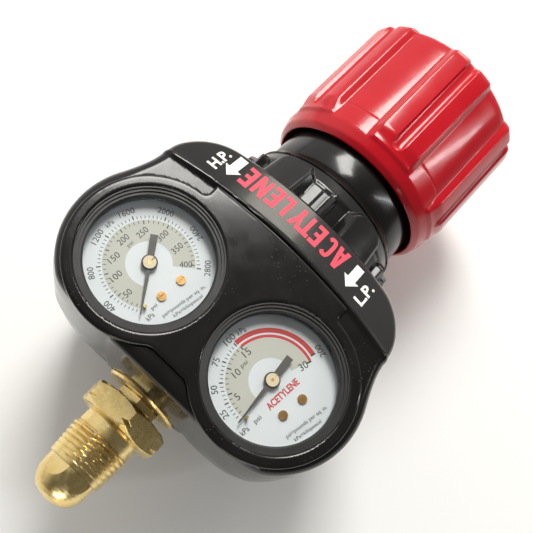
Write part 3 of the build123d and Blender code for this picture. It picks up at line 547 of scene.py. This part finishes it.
def cover_field(x, y, z):
    side = plan(x, y, taper(z))
    behind = x - band_x(y)
    shoulder = rounded(rounded(side, z - SHOULDER_Z, 3.2), behind - 0.5, 0.2)
    crown = rounded(rounded(side, roof(x, y, z), 1.3), z - BAND_TOP_Z, 1.0)
    band = rounded(crown, -behind, 0.7)
    solid = blended(shoulder, band, 1.2)
    hollow = rounded(rounded(side + WALL, z - CEILING_Z, 2.0), roof(x, y, z) + WALL, 1.0)
    solid = np.maximum(solid, -hollow)
    post_d = post_distance(x, y)
    post = np.minimum(post_d - POST_R, post_web(x, y))
    post = np.maximum(np.maximum(post, side), z - POST_TOP)
    solid = np.minimum(solid, post)
    solid = np.maximum(solid, np.minimum(PILOT_R - post_d, PILOT_TOP - z))
    solid = np.maximum(solid, -np.maximum(plate_plan(x, y, POCKET_GROW), POCKET_Z - z))
    solid = np.maximum(solid, -np.maximum(gauge_distance(x, y) - GAUGE_WAY_R, GAUGE_WAY_Z - z))
    solid = ways(x, y, z, solid)
    return np.maximum(solid, SPLIT_Z - z)


def base_field(x, y, z):
    side = plan(x, y, taper(z))
    solid = rounded(side, FLOOR_Z - z, 2.0)
    hollow = rounded(side + WALL, FLOOR_Z + WALL - z, 1.5)
    solid = np.maximum(solid, -hollow)
    post_d = post_distance(x, y)
    solid = np.minimum(solid, np.maximum(post_d - BASE_POST_R, side))
    solid = np.maximum(solid, -np.maximum(post_d - HEAD_HOLE_R, z - HEAD_SEAT_Z))
    solid = np.maximum(solid, SCREW_HOLE_R - post_d)
    solid = ways(x, y, z, solid)
    solid = np.maximum(solid, -rounded(np.hypot(x - OUTLET_X, y) - OUTLET_WAY_R, z, 0.1))
    solid = np.maximum(solid, RELIEF_WAY_R - np.hypot(x - RELIEF_X, y - RELIEF_Y))
    return np.maximum(rounded(solid, FLOOR_Z - z, 0.3), z - SPLIT_Z + SPLIT_GAP)


def plate_field(x, y, z):
    flat = rounded(plate_plan(x, y), z - FACE_Z, 0.8)
    flat = np.maximum(flat, PLATE_Z - z)
    return rounded(flat, HOLE_R - gauge_distance(x, y), 0.45)


def shroud_pieces():
    coarse = 1.0
    for name, field, node, step, slot in (
            ("cover_shell", cover_field, "shroud_cover", 0.66, "black_gloss"),
            ("face_ring_plate", plate_field, "face_plate", 0.5, "black_gloss"),
            ("base_shell", base_field, "shroud_base", 0.9, "black_plastic")):
        low, high = mm_box(node)
        verts, faces = net(field, low, high, step * coarse)
        make_piece(name, verts, faces, FINISHES[slot], "regulator", slot, (node,), 55.0)


# ---- spring case, knob, inlet ------------------------------------------------------------------------

CASE_R, CASE_END_X, NECK_R = 36.0, 127.2, 26.4
COLLAR_R, COLLAR_BORE_R, COLLAR_X, COLLAR_END_X = 28.8, 26.44, 127.25, 138.9
LOBE_PITCH, LOBE_TURN, LOBE_END_X = 60.0, 1.3, 122.0
RIB_TURN, RIB_HEIGHT, RIB_END_X = 2.0, 2.6, 120.4
PAD_PITCH, PAD_TURN, PAD_HALF, PAD_SLOPE, PAD_HEIGHT = 60.0, 5.2, 17.6, 4.0, 2.1
KNOB_R, VALLEY_R, KNOB_END_X = 36.0, 34.1, 194.2
GROOVE_HALF, GROOVE_DEPTH, GROOVE_X, JOINT_X = 2.4, 1.6, 148.2, 150.9
NUT_BACK_X, NUT_BORE_R = -0.5, 6.38
THREAD_PITCH, THREAD_ROOT, THREAD_DEPTH = 25.4 / 14, 10.19, 1.05
HEX_FLATS, HEX_TURN, HEX_BACK_X, HEX_FRONT_X = 28.6, 21.4, 17.7, 26.2
CHAMFER_R, CHAMFER_SLOPE = 14.0, 1.55
NOTCH_R, NOTCH_X, NOTCH_SLOPE = 15.35, 20.3, 1.3

def bonnet_radius(x, r, angle):
    """Six lobes with sloping sides and cut corners, and a small rib in the middle of each recess."""
    floor = np.interp(x, (90, 104, 117.5, 119.5, 124, 127.2), (36, 31.4, 31.2, 31.6, 30.4, 28.8))
    side = wrapped(angle - LOBE_TURN, LOBE_PITCH)
    away = np.abs(side)
    end = LOBE_END_X - 3.2 * np.clip((21.5 - away) / 6.0, 0.0, 1.0)
    lobe = np.clip((away - 13.6) / 3.6, 0.0, 1.0) * smooth(-0.6, 0.9, end - x)
    lobe = lobe - 0.12 * smooth(19.5, 17.0, away) * lobe
    from_rib = np.abs(side + RIB_TURN)
    rib = smooth(2.9, 1.3, from_rib) * smooth(0.0, 1.6, RIB_END_X - 0.8 * from_rib - x) * RIB_HEIGHT
    facet = 0.5 * smooth(5.5, 6.5, side) * smooth(14.5, 13.5, side) * smooth(118.6, 117.4, x)
    shaped = np.where(r > floor, floor + (r - floor) * lobe, r)
    low = np.minimum(floor + rib + facet, r)
    return np.where((x > 91) & (x < 124), np.maximum(shaped, low), r)


def knob_radius(x, r, angle):
    """Six raised pads with sloping sides, each with a half-round groove along its middle."""
    away = np.abs(wrapped(angle + PAD_TURN, PAD_PITCH))
    start = 0.45 * smooth(142.7, 144.6, x) + 0.55 * smooth(144.6, 150.6, x)
    along = start * (1 - 0.25 * smooth(191.0, KNOB_END_X, x))
    ramp = np.clip((PAD_HALF - away) / PAD_SLOPE, 0.0, 1.0)
    pad = (0.75 * ramp + 0.25 * smooth(0.0, 1.0, ramp)) * along * PAD_HEIGHT
    width = np.radians(away) * KNOB_R
    reach = np.hypot(width, np.maximum(GROOVE_X - x, 0.0)) / GROOVE_HALF
    groove = np.sqrt(np.clip(1.0 - reach ** 2, 0.0, 1.0)) * GROOVE_DEPTH * along
    joint = 0.12 * smooth(0.35, 0.0, np.abs(x - JOINT_X)) * smooth(17.0, 18.5, away)
    return r + np.where(x > 142, pad - groove - joint, 0.0)


def thread_radius(x, r, angle):
    """Left-hand helical ridges, then a neck and a notched, chamfered hexagon."""
    start = -0.28 * THREAD_PITCH
    turns = (x - start) / THREAD_PITCH + angle / 360.0
    phase = turns - np.floor(turns)
    ridge = smooth(0.0, 0.27, phase) * smooth(0.92, 0.64, phase)
    run = smooth(start + 0.05, start + 0.9, x) * smooth(12.35, 11.7, x)
    threaded = THREAD_ROOT + THREAD_DEPTH * ridge * run
    hexagon = HEX_FLATS / 2 / np.cos(np.radians(wrapped(angle - HEX_TURN, 60.0)))
    chamfer = CHAMFER_R + CHAMFER_SLOPE * np.minimum(x - HEX_BACK_X, HEX_FRONT_X - x)
    notch = NOTCH_R + np.abs(x - NOTCH_X) * NOTCH_SLOPE
    head = np.minimum(np.minimum(hexagon, chamfer), notch)
    return np.where(x > 17.72, np.minimum(r, head), np.where(x < 12.4, np.minimum(r, threaded), r))


def turned_pieces():
    around = 720
    fine = 0.45
    turned("spring_case",
           [(90.2, 31.6, 1), (90.2, 35.5, 5), (90.7, CASE_R, 1), (104.0, CASE_R, 4), (108.0, CASE_R, fine),
            (121.6, 33.45, fine), (122.3, 33.1, 0.3), (122.6, 32.4, 0.3), (124.6, 30.3, fine),
            (CASE_END_X, COLLAR_R, fine)],
           [(CASE_END_X, NECK_R, 5), (135.8, NECK_R, 10), (136.0, 24.0, 5), (141.0, 20.0, 5),
            (146.0, 15.0, 5),
            (163.0, 15.0, 20), (164.0, 14.0, 5), (164.0, 10.4, 5), (148.0, 10.4, 20), (148.0, 8.0, 5),
            (142.0, 8.0, 10), (142.0, 17.0, 20), (108.0, 17.0, 40), (103.0, 25.0, 20), (100.1, 25.0, 5),
            (100.1, 31.6, 10)],
           around, bonnet_radius, FINISHES["black_satin"], "regulator", "black_satin", ("bonnet",))
    turned("collar_sleeve",
           [(COLLAR_X, 28.5, 1), (127.35, 28.7, 1), (127.6, COLLAR_R, 1), (132.0, COLLAR_R, 5),
            (138.1, COLLAR_R, 7), (138.5, 28.7, 1), (138.8, 28.4, 1), (COLLAR_END_X, 28.0, 1)],
           [(COLLAR_END_X, COLLAR_BORE_R, 5), (COLLAR_X, COLLAR_BORE_R, 20)],
           192, lambda x, r, a: r + 0.0 * a, FINISHES["black_satin"], "regulator", "black_satin",
           ("bonnet_collar",))
    turned("grip_knob",
           [(148.0, 30.4, 1), (138.4, 30.4, 3), (137.8, 30.6, 1), (137.6, 30.95, 0.5),
            (137.75, 31.3, 0.5), (138.9, 32.5, 0.4), (139.3, 32.85, 0.3), (139.8, 33.1, 0.3),
            (142.6, 33.95, 0.6), (143.4, VALLEY_R, fine), (151.8, VALLEY_R, 0.3), (190.6, VALLEY_R, 2.0),
            (192.2, 33.9, 0.4), (193.3, 33.2, 0.4), (194.0, 32.2, 0.4), (KNOB_END_X, 31.2, 0.4)],
           [(KNOB_END_X, 19.2, 3), (191.2, 19.2, 3), (191.2, 8.0, 5), (185.4, 8.0, 5), (185.4, 6.4, 5),
            (172.2, 6.4, 30), (172.2, 11.0, 5), (180.0, 13.0, 10), (180.0, 27.5, 10), (160.0, 29.2, 10)],
           around, knob_radius, FINISHES["red_plastic"], "knob", "red_plastic", ("knob",))
    turned("threaded_nut",
           [(NUT_BACK_X, THREAD_ROOT, 1), (12.2, 11.24, 0.16), (12.6, 10.4, 0.3), (16.9, 10.4, 1),
            (HEX_BACK_X, 12.6, 1), (17.72, 13.95, 1), (17.75, 17.0, 1), (26.15, 17.0, 0.12),
            (HEX_FRONT_X, CHAMFER_R, 1), (HEX_FRONT_X, 12.0, 1)],
           [(HEX_FRONT_X, NUT_BORE_R, 5), (NUT_BACK_X, NUT_BORE_R, 40)],
           around, thread_radius, FINISHES["brass"], "nut", "brass", ("inlet_nut",), 26.0)


# ---- springs -------------------------------------------------------------------------------------------

WIRE_SIDES, STEPS_PER_TURN = 12, 36


def spring(name, node, place, mean, wire, length, turns):
    """Round-wire spring. place(x, y, z) puts its own axis X in the row."""
    around = WIRE_SIDES
    count = turns * STEPS_PER_TURN
    slope = length / turns / (2 * math.pi * mean)
    rise, run = slope / math.hypot(1, slope), 1 / math.hypot(1, slope)
    verts = []
    for n in range(count + 1):
        turn = 2 * math.pi * turns * n / count
        s, c = math.sin(turn), math.cos(turn)
        for k in range(around):
            out = wire * math.cos(2 * math.pi * k / around)
            up = wire * math.sin(2 * math.pi * k / around)
            r = mean + out
            verts.append(place(length * n / count + up * run, r * s - up * rise * c,
                               -r * c - up * rise * s))
    faces = [tuple(range(around)), tuple(count * around + k for k in range(around))]
    for n in range(count):
        for k in range(around):
            m = (k + 1) % around
            faces.append((n * around + k, n * around + m, (n + 1) * around + m, (n + 1) * around + k))
    slot = slot_of[node]
    piece = make_piece(name, verts, faces, FINISHES[slot], "regulator", slot, (node,), 50.0)
    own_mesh(piece)


def springs():
    """Range, valve and relief springs."""
    spring("range_spring", "adjusting_spring", lambda x, y, z: (103.4 + x, y, z),
           mean=12.0, wire=1.7, length=25.8, turns=5)
    spring("valve_return_spring", "valve_spring", lambda x, y, z: (67.0 + x, y, z),
           mean=3.4, wire=0.4, length=8.7, turns=5)
    spring("relief_loading_spring", "relief_spring",
           lambda x, y, z: (RELIEF_X + z, RELIEF_Y + y, -21.55 - x),
           mean=2.5, wire=0.45, length=18.3, turns=7)


# ---- lettering and dials -----------------------------------------------------------------------------

class Ink:
    """Thin closed solids that lie on a surface, gathered into one piece."""

    def __init__(self):
        self.verts, self.faces = [], []

    def solid(self, outline_faces, points, low, high, place):
        """Extrudes flat faces between two heights. place(x, y, h) gives the row's point."""
        count = len(points)
        start = len(self.verts)
        for h in (low, high):
            self.verts += [place(px, py, h) for px, py in points]
        edges = {}
        for face in outline_faces:
            self.faces.append(tuple(start + count + v for v in face))
            self.faces.append(tuple(start + v for v in reversed(face)))
            for a, b in zip(face, face[1:] + face[:1]):
                if (b, a) in edges:
                    del edges[(b, a)]
                else:
                    edges[(a, b)] = True
        for a, b in edges:
            self.faces.append((start + a, start + b, start + count + b, start + count + a))

    def polygon(self, points, low, high, place):
        self.solid([list(range(len(points)))], points, low, high, place)

    def text(self, words, width, height, low, high, place, bold=0.0):
        """Letters centred on the origin of place, fitted to a width and a height in mm."""
        points, faces = letters(words, bold)
        size = points.max(0) - points.min(0)
        middle = (points.max(0) + points.min(0)) / 2
        scale = np.array([width, height]) / size
        self.solid(faces, ((points - middle) * scale).tolist(), low, high, place)

    def arc(self, r0, r1, a0, a1, low, high, place, step=3.0):
        count = max(2, int(abs(a1 - a0) / step) + 1)
        angles = np.radians(np.linspace(a0, a1, count))
        points = [(r1 * math.cos(a), r1 * math.sin(a)) for a in angles]
        points += [(r0 * math.cos(a), r0 * math.sin(a)) for a in angles]
        faces = [[n, n + 1, count + n + 1, count + n] for n in range(count - 1)]
        self.solid(faces, points, low, high, place)

    def tick(self, r0, r1, angle, width, low, high, place):
        c, s = math.cos(math.radians(angle)), math.sin(math.radians(angle))
        points = [(r * c - w * s, r * s + w * c) for r, w in
                  ((r0, -width / 2), (r1, -width / 2), (r1, width / 2), (r0, width / 2))]
        self.polygon(points, low, high, place)

    def piece(self, name, material, body, slot=None):
        return make_piece(name, self.verts, self.faces, material, body, slot)


glyph_store = {}


def letters(words, bold):
    """Points and faces of a flat line of text in Blender's own font."""
    key = (words, bold)
    if key not in glyph_store:
        curve = bpy.data.curves.new("glyphs", "FONT")
        curve.body = words
        curve.size = 1.0
        curve.offset = bold
        curve.resolution_u = 3
        curve.fill_mode = "FRONT"
        holder = bpy.data.objects.new("glyphs", curve)
        mesh = bpy.data.meshes.new_from_object(holder)
        bm = bmesh.new()
        bm.from_mesh(mesh)
        bmesh.ops.remove_doubles(bm, verts=bm.verts, dist=1e-4)
        points = np.array([v.co[:2] for v in bm.verts])
        faces = [[v.index for v in f.verts] for f in bm.faces]
        bm.free()
        bpy.data.objects.remove(holder)
        bpy.data.curves.remove(curve)
        bpy.data.meshes.remove(mesh)
        glyph_store[key] = (points, faces)
    return glyph_store[key]


def on_dial(centre, z, at=(0.0, 0.0), turn=0.0):
    """Places dial drawing: turned about a point of the dial and laid at the dial's height."""
    c, s = math.cos(math.radians(turn)), math.sin(math.radians(turn))

    def place(px, py, h):
        return (centre[0] + at[0] + px * c - py * s, centre[1] + at[1] + px * s + py * c, z + h)
    return place


TINT_LEVEL = (0.005, 0.03)
INK_LEVEL = (0.005, 0.05)
PSI_OUT_R, KPA_IN_R = 13.8, 14.5


def around_label(ink, words, width, height, r, angle, centre, z, upright=False):
    """A number whose line runs round the dial, its top outwards, or inwards if upright."""
    spin = angle + 90 if upright else angle - 90
    at = (r * math.cos(math.radians(angle)), r * math.sin(math.radians(angle)))
    ink.text(words, width, height, *INK_LEVEL, on_dial(centre, z, at, spin))


def flat_label(ink, words, width, height, at, centre, z, turn=-2.0):
    ink.text(words, width, height, *INK_LEVEL, on_dial(centre, z, at, turn))


def dial_centre(prefix):
    low, high = mm_box(prefix + "_dial")
    return ((low[0] + high[0]) / 2, (low[1] + high[1]) / 2), high[2]


def high_dial():
    centre, z = dial_centre("high")
    place = on_dial(centre, z)
    zero, full_psi, full_kpa = 215.2, -46.5, -50.3
    tint, ink = Ink(), Ink()
    tint.arc(7.2, 14.05, full_psi - 4, zero + 1, *TINT_LEVEL, place)
    for n in range(0, 41):
        angle = zero + (full_psi - zero) * n / 40
        major = n % 5 == 0
        ink.tick(12.6 if major else 12.9, PSI_OUT_R, angle, 0.34 if major else 0.2, *INK_LEVEL, place)
    for n in range(0, 57):
        angle = zero + (full_kpa - zero) * n / 56
        major = n % 8 == 0
        ink.tick(KPA_IN_R, 15.8 if major else 15.4, angle, 0.36 if major else 0.2, *INK_LEVEL, place)
    for words, at in (("50", (-11.1, -1.9)), ("100", (-9.8, 4.2)), ("150", (-6.2, 8.7)),
                      ("200", (-0.2, 10.8)), ("250", (5.6, 8.4)), ("300", (9.3, 3.4)),
                      ("350", (9.6, -2.5))):
        flat_label(ink, words, 1.3 * len(words), 2.0, at, centre, z)
    flat_label(ink, "400", 3.9, 1.9, (7.8, -7.9), centre, z, -42)
    flat_label(ink, "psi", 2.1, 1.5, (0.3, 8.2), centre, z)
    flat_label(ink, "kPa", 2.7, 1.5, (0.5, 17.2), centre, z)
    flat_label(ink, "kPa", 2.7, 1.6, (-11.5, -11.7), centre, z)
    flat_label(ink, "psi", 2.1, 1.5, (-8.5, -10.5), centre, z)
    flat_label(ink, "psi=pounds per sq. in.", 16.0, 1.5, (-0.9, -15.6), centre, z, -9)
    flat_label(ink, "kPa=kilopascal", 10.8, 1.4, (-1.1, -17.5), centre, z, -9)
    for words, r, angle in (("400", 17.7, 183.5), ("800", 17.6, 145.5), ("1200", 17.5, 107.0),
                            ("1600", 17.5, 67.5), ("2000", 17.5, 27.5)):
        around_label(ink, words, 1.25 * len(words), 1.9, r, angle, centre, z)
    around_label(ink, "2400", 5.0, 1.9, 17.6, -10.8, centre, z, upright=True)
    around_label(ink, "2800", 5.0, 1.9, 17.8, -49.0, centre, z, upright=True)
    tint.piece("high_dial_tint", INK_TINT, "regulator", "dial_white")
    ink.piece("high_dial_print", INK_BLACK, "regulator", "dial_white")


def low_dial():
    centre, z = dial_centre("low")
    place = on_dial(centre, z)
    zero, half, full = 184.3, 85.5, -20.4

    def at_psi(value):
        if value < 15:
            return zero + (half - zero) * value / 15
        return half + (full - half) * (value - 15) / 15

    tint, ink, red = Ink(), Ink(), Ink()
    tint.arc(7.0, 13.1, full + 0.5, half, *TINT_LEVEL, place)
    tint.arc(7.0, 14.05, half, zero, *TINT_LEVEL, place)
    for n in range(0, 16):
        major = n % 5 == 0
        ink.tick(12.5 if major else 13.0, 13.9, at_psi(n), 0.4 if major else 0.22, *INK_LEVEL, place)
    for n in range(0, 21):
        major = n % 5 == 0
        ink.tick(14.6, 15.9 if major else 15.6, at_psi(n * 5 / 6.895), 0.4 if major else 0.22,
                 *INK_LEVEL, place)
    ink.tick(12.2, 14.0, full, 0.5, *INK_LEVEL, place)
    ink.tick(14.7, 16.3, -14.8, 0.5, *INK_LEVEL, place)
    red.arc(13.25, 14.15, full + 1.2, half - 1.2, *INK_LEVEL, place)
    red.arc(14.75, 16.25, -13.9, 87.0, *INK_LEVEL, place)
    for words, r, angle in (("25", 17.5, 168.8), ("50", 17.5, 143.0), ("75", 17.6, 115.5),
                            ("100", 17.6, 89.2)):
        around_label(ink, words, 1.3 * len(words), 2.0, r, angle, centre, z)
    around_label(ink, "kPa", 3.0, 1.8, 17.5, 74.3, centre, z)
    around_label(ink, "200", 3.9, 2.0, 18.1, -15.3, centre, z, upright=True)
    flat_label(ink, "5", 1.3, 2.2, (-10.7, 4.2), centre, z, -5)
    flat_label(ink, "10", 2.5, 2.2, (-5.7, 9.2), centre, z, -5)
    flat_label(ink, "psi", 2.5, 1.8, (-2.1, 9.2), centre, z, -5)
    flat_label(ink, "15", 2.5, 2.3, (1.0, 11.2), centre, z, -5)
    flat_label(ink, "30", 2.9, 2.3, (10.3, -4.1), centre, z, -14)
    flat_label(ink, "kPa", 2.9, 1.7, (-16.5, -4.2), centre, z, -5)
    flat_label(ink, "psi", 2.5, 1.8, (-11.4, -4.9), centre, z, -5)
    flat_label(ink, "psi=pounds per sq. in.", 15.6, 1.6, (-1.6, -16.1), centre, z, -11)
    flat_label(ink, "kPa=kilopascal", 10.0, 1.4, (-3.3, -18.1), centre, z, -12)
    red.text("ACETYLENE", 12.6, 2.3, *INK_LEVEL, on_dial(centre, z, (-0.5, -5.2), -5), 0.03)
    tint.piece("low_dial_tint", INK_TINT, "regulator", "dial_white")
    ink.piece("low_dial_print", INK_BLACK, "regulator", "dial_white")
    red.piece("low_dial_red", INK_RED, "regulator", "dial_white")


def on_band(at_y, along, turn=0.0):
    """Places drawing on the band: letters' tops towards the gauges, lines along +Y."""
    c, s = math.cos(math.radians(turn)), math.sin(math.radians(turn))

    def place(px, py, h):
        y = at_y + px * c - py * s
        down = along - (px * s + py * c)
        crown = math.sqrt(ROOF_R ** 2 - y * y) - ROOF_R + h
        return (FACE_EDGE_X + down * math.cos(ROOF_SLOPE) + crown * math.sin(ROOF_SLOPE), y,
                FACE_Z - down * math.sin(ROOF_SLOPE) + crown * math.cos(ROOF_SLOPE))
    return place


BAND_LEVEL = (-0.05, 0.05)
NAME_HEIGHT, NAME_DOWN = 9.8, 15.6
HEAD_HALF, HEAD_LENGTH, SHAFT_HALF, ARROW_LENGTH = 3.1, 4.2, 1.6, 10.9


def block_letters():
    """Bold narrow capitals in a unit square: outline points and the faces that fill them."""
    arc = []
    for radius, turn in (((0.5, 0.5), range(40, 321, 20)), ((0.17, 0.33), range(320, 39, -20))):
        for angle in turn:
            c, s = math.cos(math.radians(angle)), math.sin(math.radians(angle))
            size = (abs(c) ** 3.2 + abs(s) ** 3.2) ** (-1 / 3.2)
            arc.append((0.5 + radius[0] * c * size, 0.5 + radius[1] * s * size))
    half = len(arc) // 2
    ring = [[n, n + 1, 2 * half - 2 - n, 2 * half - 1 - n] for n in range(half - 1)]
    plain = {
        "E": [(0, 0), (1, 0), (1, 0.19), (0.42, 0.19), (0.42, 0.41), (0.88, 0.41), (0.88, 0.59),
              (0.42, 0.59), (0.42, 0.81), (1, 0.81), (1, 1), (0, 1)],
        "T": [(0.31, 0), (0.69, 0), (0.69, 0.81), (1, 0.81), (1, 1), (0, 1), (0, 0.81), (0.31, 0.81)],
        "Y": [(0.33, 0), (0.67, 0), (0.67, 0.4), (1, 1), (0.66, 1), (0.5, 0.62), (0.34, 1), (0, 1),
              (0.33, 0.4)],
        "L": [(0, 0), (1, 0), (1, 0.19), (0.44, 0.19), (0.44, 1), (0, 1)],
        "N": [(0, 0), (0.3, 0), (0.3, 0.55), (0.68, 0), (1, 0), (1, 1), (0.7, 1), (0.7, 0.45),
              (0.32, 1), (0, 1)],
    }
    shapes = {letter: (points, [list(range(len(points)))]) for letter, points in plain.items()}
    shapes["A"] = ([(0, 0), (0.33, 0), (0.38, 0.19), (0.62, 0.19), (0.67, 0), (1, 0), (0.69, 1),
                    (0.31, 1), (0.42, 0.36), (0.58, 0.36), (0.5, 0.72)],
                   [[0, 1, 2, 8, 10, 7], [5, 6, 10, 9, 3, 4], [7, 10, 6], [2, 3, 9, 8]])
    shapes["C"] = (arc, ring)
    return shapes


def band_lettering():
    shapes = block_letters()
    name, white = Ink(), Ink()
    spans = (("A", -17.5, -12.8), ("C", -12.2, -8.3), ("E", -7.2, -3.6), ("T", -3.1, 0.7),
             ("Y", 0.4, 5.0), ("L", 6.8, 10.1), ("E", 10.9, 14.7), ("N", 15.6, 20.2),
             ("E", 21.2, 24.9))
    for letter, y0, y1 in spans:
        middle = (y0 + y1) / 2
        place = on_band(middle, NAME_DOWN - (middle / 20.0) ** 2)
        points, faces = shapes[letter]
        points = [((px - 0.5) * (y1 - y0), py * NAME_HEIGHT) for px, py in points]
        name.solid(faces, points, *BAND_LEVEL, place)
    for middle, tip in ((-22.3, 3.4), (28.5, 3.6)):
        place = on_band(middle, tip)
        white.solid([[0, 1, 2], [3, 4, 5, 6]],
                    [(0, 0), (-HEAD_HALF, -HEAD_LENGTH), (HEAD_HALF, -HEAD_LENGTH),
                     (-SHAFT_HALF, 0.2 - HEAD_LENGTH), (-SHAFT_HALF, -ARROW_LENGTH),
                     (SHAFT_HALF, -ARROW_LENGTH), (SHAFT_HALF, 0.2 - HEAD_LENGTH)],
                    *BAND_LEVEL, place)
    for words, y in (("L.P.", -28.4), ("H.P.", 33.8)):
        white.text(words, 9.6, 3.9, *BAND_LEVEL, on_band(y, 7.2, -90), 0.03)
    name.piece("band_gas_name", BAND_RED, "regulator", "black_gloss")
    white.piece("band_marks", BAND_WHITE, "regulator", "black_gloss")


# The second radius is for the black disc of painted shade that stands for the pivot pin hole.
HUB_R, PIN_HOLE_SHADE_R = 2.02, 0.3


def hub_caps():
    """Cream faces of the pointers' hubs, each with a black disc of painted shade where the pivot pin hole
    is.
    """
    for prefix in ("high", "low"):
        low, high = mm_box(prefix + "_pinion")
        centre = ((low[0] + high[0]) / 2, (low[1] + high[1]) / 2)
        top = mm_box(prefix + "_pointer")[1][2]
        cap, pin_hole_shade = Ink(), Ink()
        cap.arc(PIN_HOLE_SHADE_R + 0.02, HUB_R, 0, 360, -0.05, 0.04, on_dial(centre, top), 10)
        # Black disc of painted shade in place of the shadowed pivot pin hole.
        pin_hole_shade.arc(0.05, PIN_HOLE_SHADE_R, 0, 360, -0.05, 0.03, on_dial(centre, top), 30)
        cap.piece(prefix + "_hub_cap", HUB_CREAM, prefix + "_pointer", "pointer_grey")
        pin_hole_shade.piece(prefix + "_hub_pin_hole_shade", INK_BLACK, prefix + "_pointer", "pointer_grey")


shroud_pieces()
turned_pieces()
springs()
high_dial()
low_dial()
band_lettering()
hub_caps()


# ---- floor, light, camera ------------------------------------------------------------------------------

FLOOR_HALF = 3.0
LIGHT_TARGET = Vector((0.09, 0.0, 0.02))
LIGHTS = (
    # name, direction, distance, width and height in metres, watts, colour
    ("key", (0.46, 0.36, 0.81), 0.75, 0.24, 0.40, 5.6, (1.0, 0.985, 0.94)),
    ("front", (0.95, 0.13, 0.31), 0.9, 0.16, 0.34, 1.1, (1.0, 0.97, 0.85)),
    ("side_strip", (0.55, -0.67, 0.50), 0.9, 0.035, 0.5, 1.0, (1.0, 1.0, 1.0)),
    ("rear_fill", (-0.9, -0.4, 0.2), 0.6, 0.3, 0.1, 0.9, (1.0, 0.98, 0.9)),
)
BRIGHT_SIDE = (0.55, 0.70, -0.45)
DIM_BELOW, BRIGHT_ABOVE = -0.32, 0.28
DIM_STRENGTH, BRIGHT_STRENGTH = 0.14, 0.9
SENSOR_MM, LENS_MM = 36.0, 60.38
CAMERA_AT = (-0.01120, -0.01270, 0.30148)
CAMERA_RIGHT = (0.66053, -0.72375, 0.19970)
CAMERA_UP = (0.67282, 0.68864, 0.27035)
CAMERA_BACK = (-0.33319, -0.04421, 0.94182)


def floor():
    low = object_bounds()[0]
    mesh = bpy.data.meshes.new("floor")
    z = low[2]
    corners = ((-1, -1), (1, -1), (1, 1), (-1, 1))
    mesh.from_pydata([(FLOOR_HALF * sx, FLOOR_HALF * sy, z) for sx, sy in corners], [],
                     [(0, 1, 2, 3)])
    plain = Nodes("floor", (0.93, 0.93, 0.93), 0.8)
    plain.color(plain.mix(plain.noise(0.01, 2.0), (0.92, 0.92, 0.92), (0.94, 0.94, 0.94)))
    mesh.materials.append(plain.material)
    ground = bpy.data.objects.new("floor", mesh)
    scene.collection.objects.link(ground)
    ground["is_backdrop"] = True


def area(name, direction, distance, width, height, power, color):
    """Soft rectangular light that faces the regulator from a direction."""
    light = bpy.data.lights.new(name, "AREA")
    light.shape = "RECTANGLE"
    light.size, light.size_y = width, height
    light.energy = power
    light.color = color
    holder = bpy.data.objects.new(name, light)
    scene.collection.objects.link(holder)
    away = Vector(direction).normalized()
    holder.location = LIGHT_TARGET + away * distance
    holder.rotation_euler = away.to_track_quat("Z", "Y").to_euler()


def world():
    """Plain pale surroundings, brighter towards one low side and dim overhead."""
    back = bpy.data.worlds.new("studio")
    scene.world = back
    back.use_nodes = True
    tree = back.node_tree
    shader = tree.nodes["Background"]
    coords = tree.nodes.new("ShaderNodeTexCoord")
    toward = tree.nodes.new("ShaderNodeVectorMath")
    toward.operation = "DOT_PRODUCT"
    toward.inputs[1].default_value = BRIGHT_SIDE
    ramp = tree.nodes.new("ShaderNodeMapRange")
    ramp.inputs["From Min"].default_value = DIM_BELOW
    ramp.inputs["From Max"].default_value = BRIGHT_ABOVE
    ramp.inputs["To Min"].default_value = DIM_STRENGTH
    ramp.inputs["To Max"].default_value = BRIGHT_STRENGTH
    tree.links.new(coords.outputs["Generated"], toward.inputs[0])
    tree.links.new(toward.outputs["Value"], ramp.inputs["Value"])
    tree.links.new(ramp.outputs["Result"], shader.inputs["Strength"])
    shader.inputs["Color"].default_value = (1.0, 0.975, 0.94, 1.0)


def camera():
    data = bpy.data.cameras.new("camera")
    data.sensor_width = SENSOR_MM
    data.lens = LENS_MM
    data.clip_start = 0.01
    holder = bpy.data.objects.new("camera", data)
    scene.collection.objects.link(holder)
    turn = Matrix((CAMERA_RIGHT, CAMERA_UP, CAMERA_BACK)).transposed().to_4x4()
    holder.matrix_world = Matrix.Translation(CAMERA_AT) @ turn
    scene.camera = holder


floor()
for settings in LIGHTS:
    area(*settings)
world()
camera()
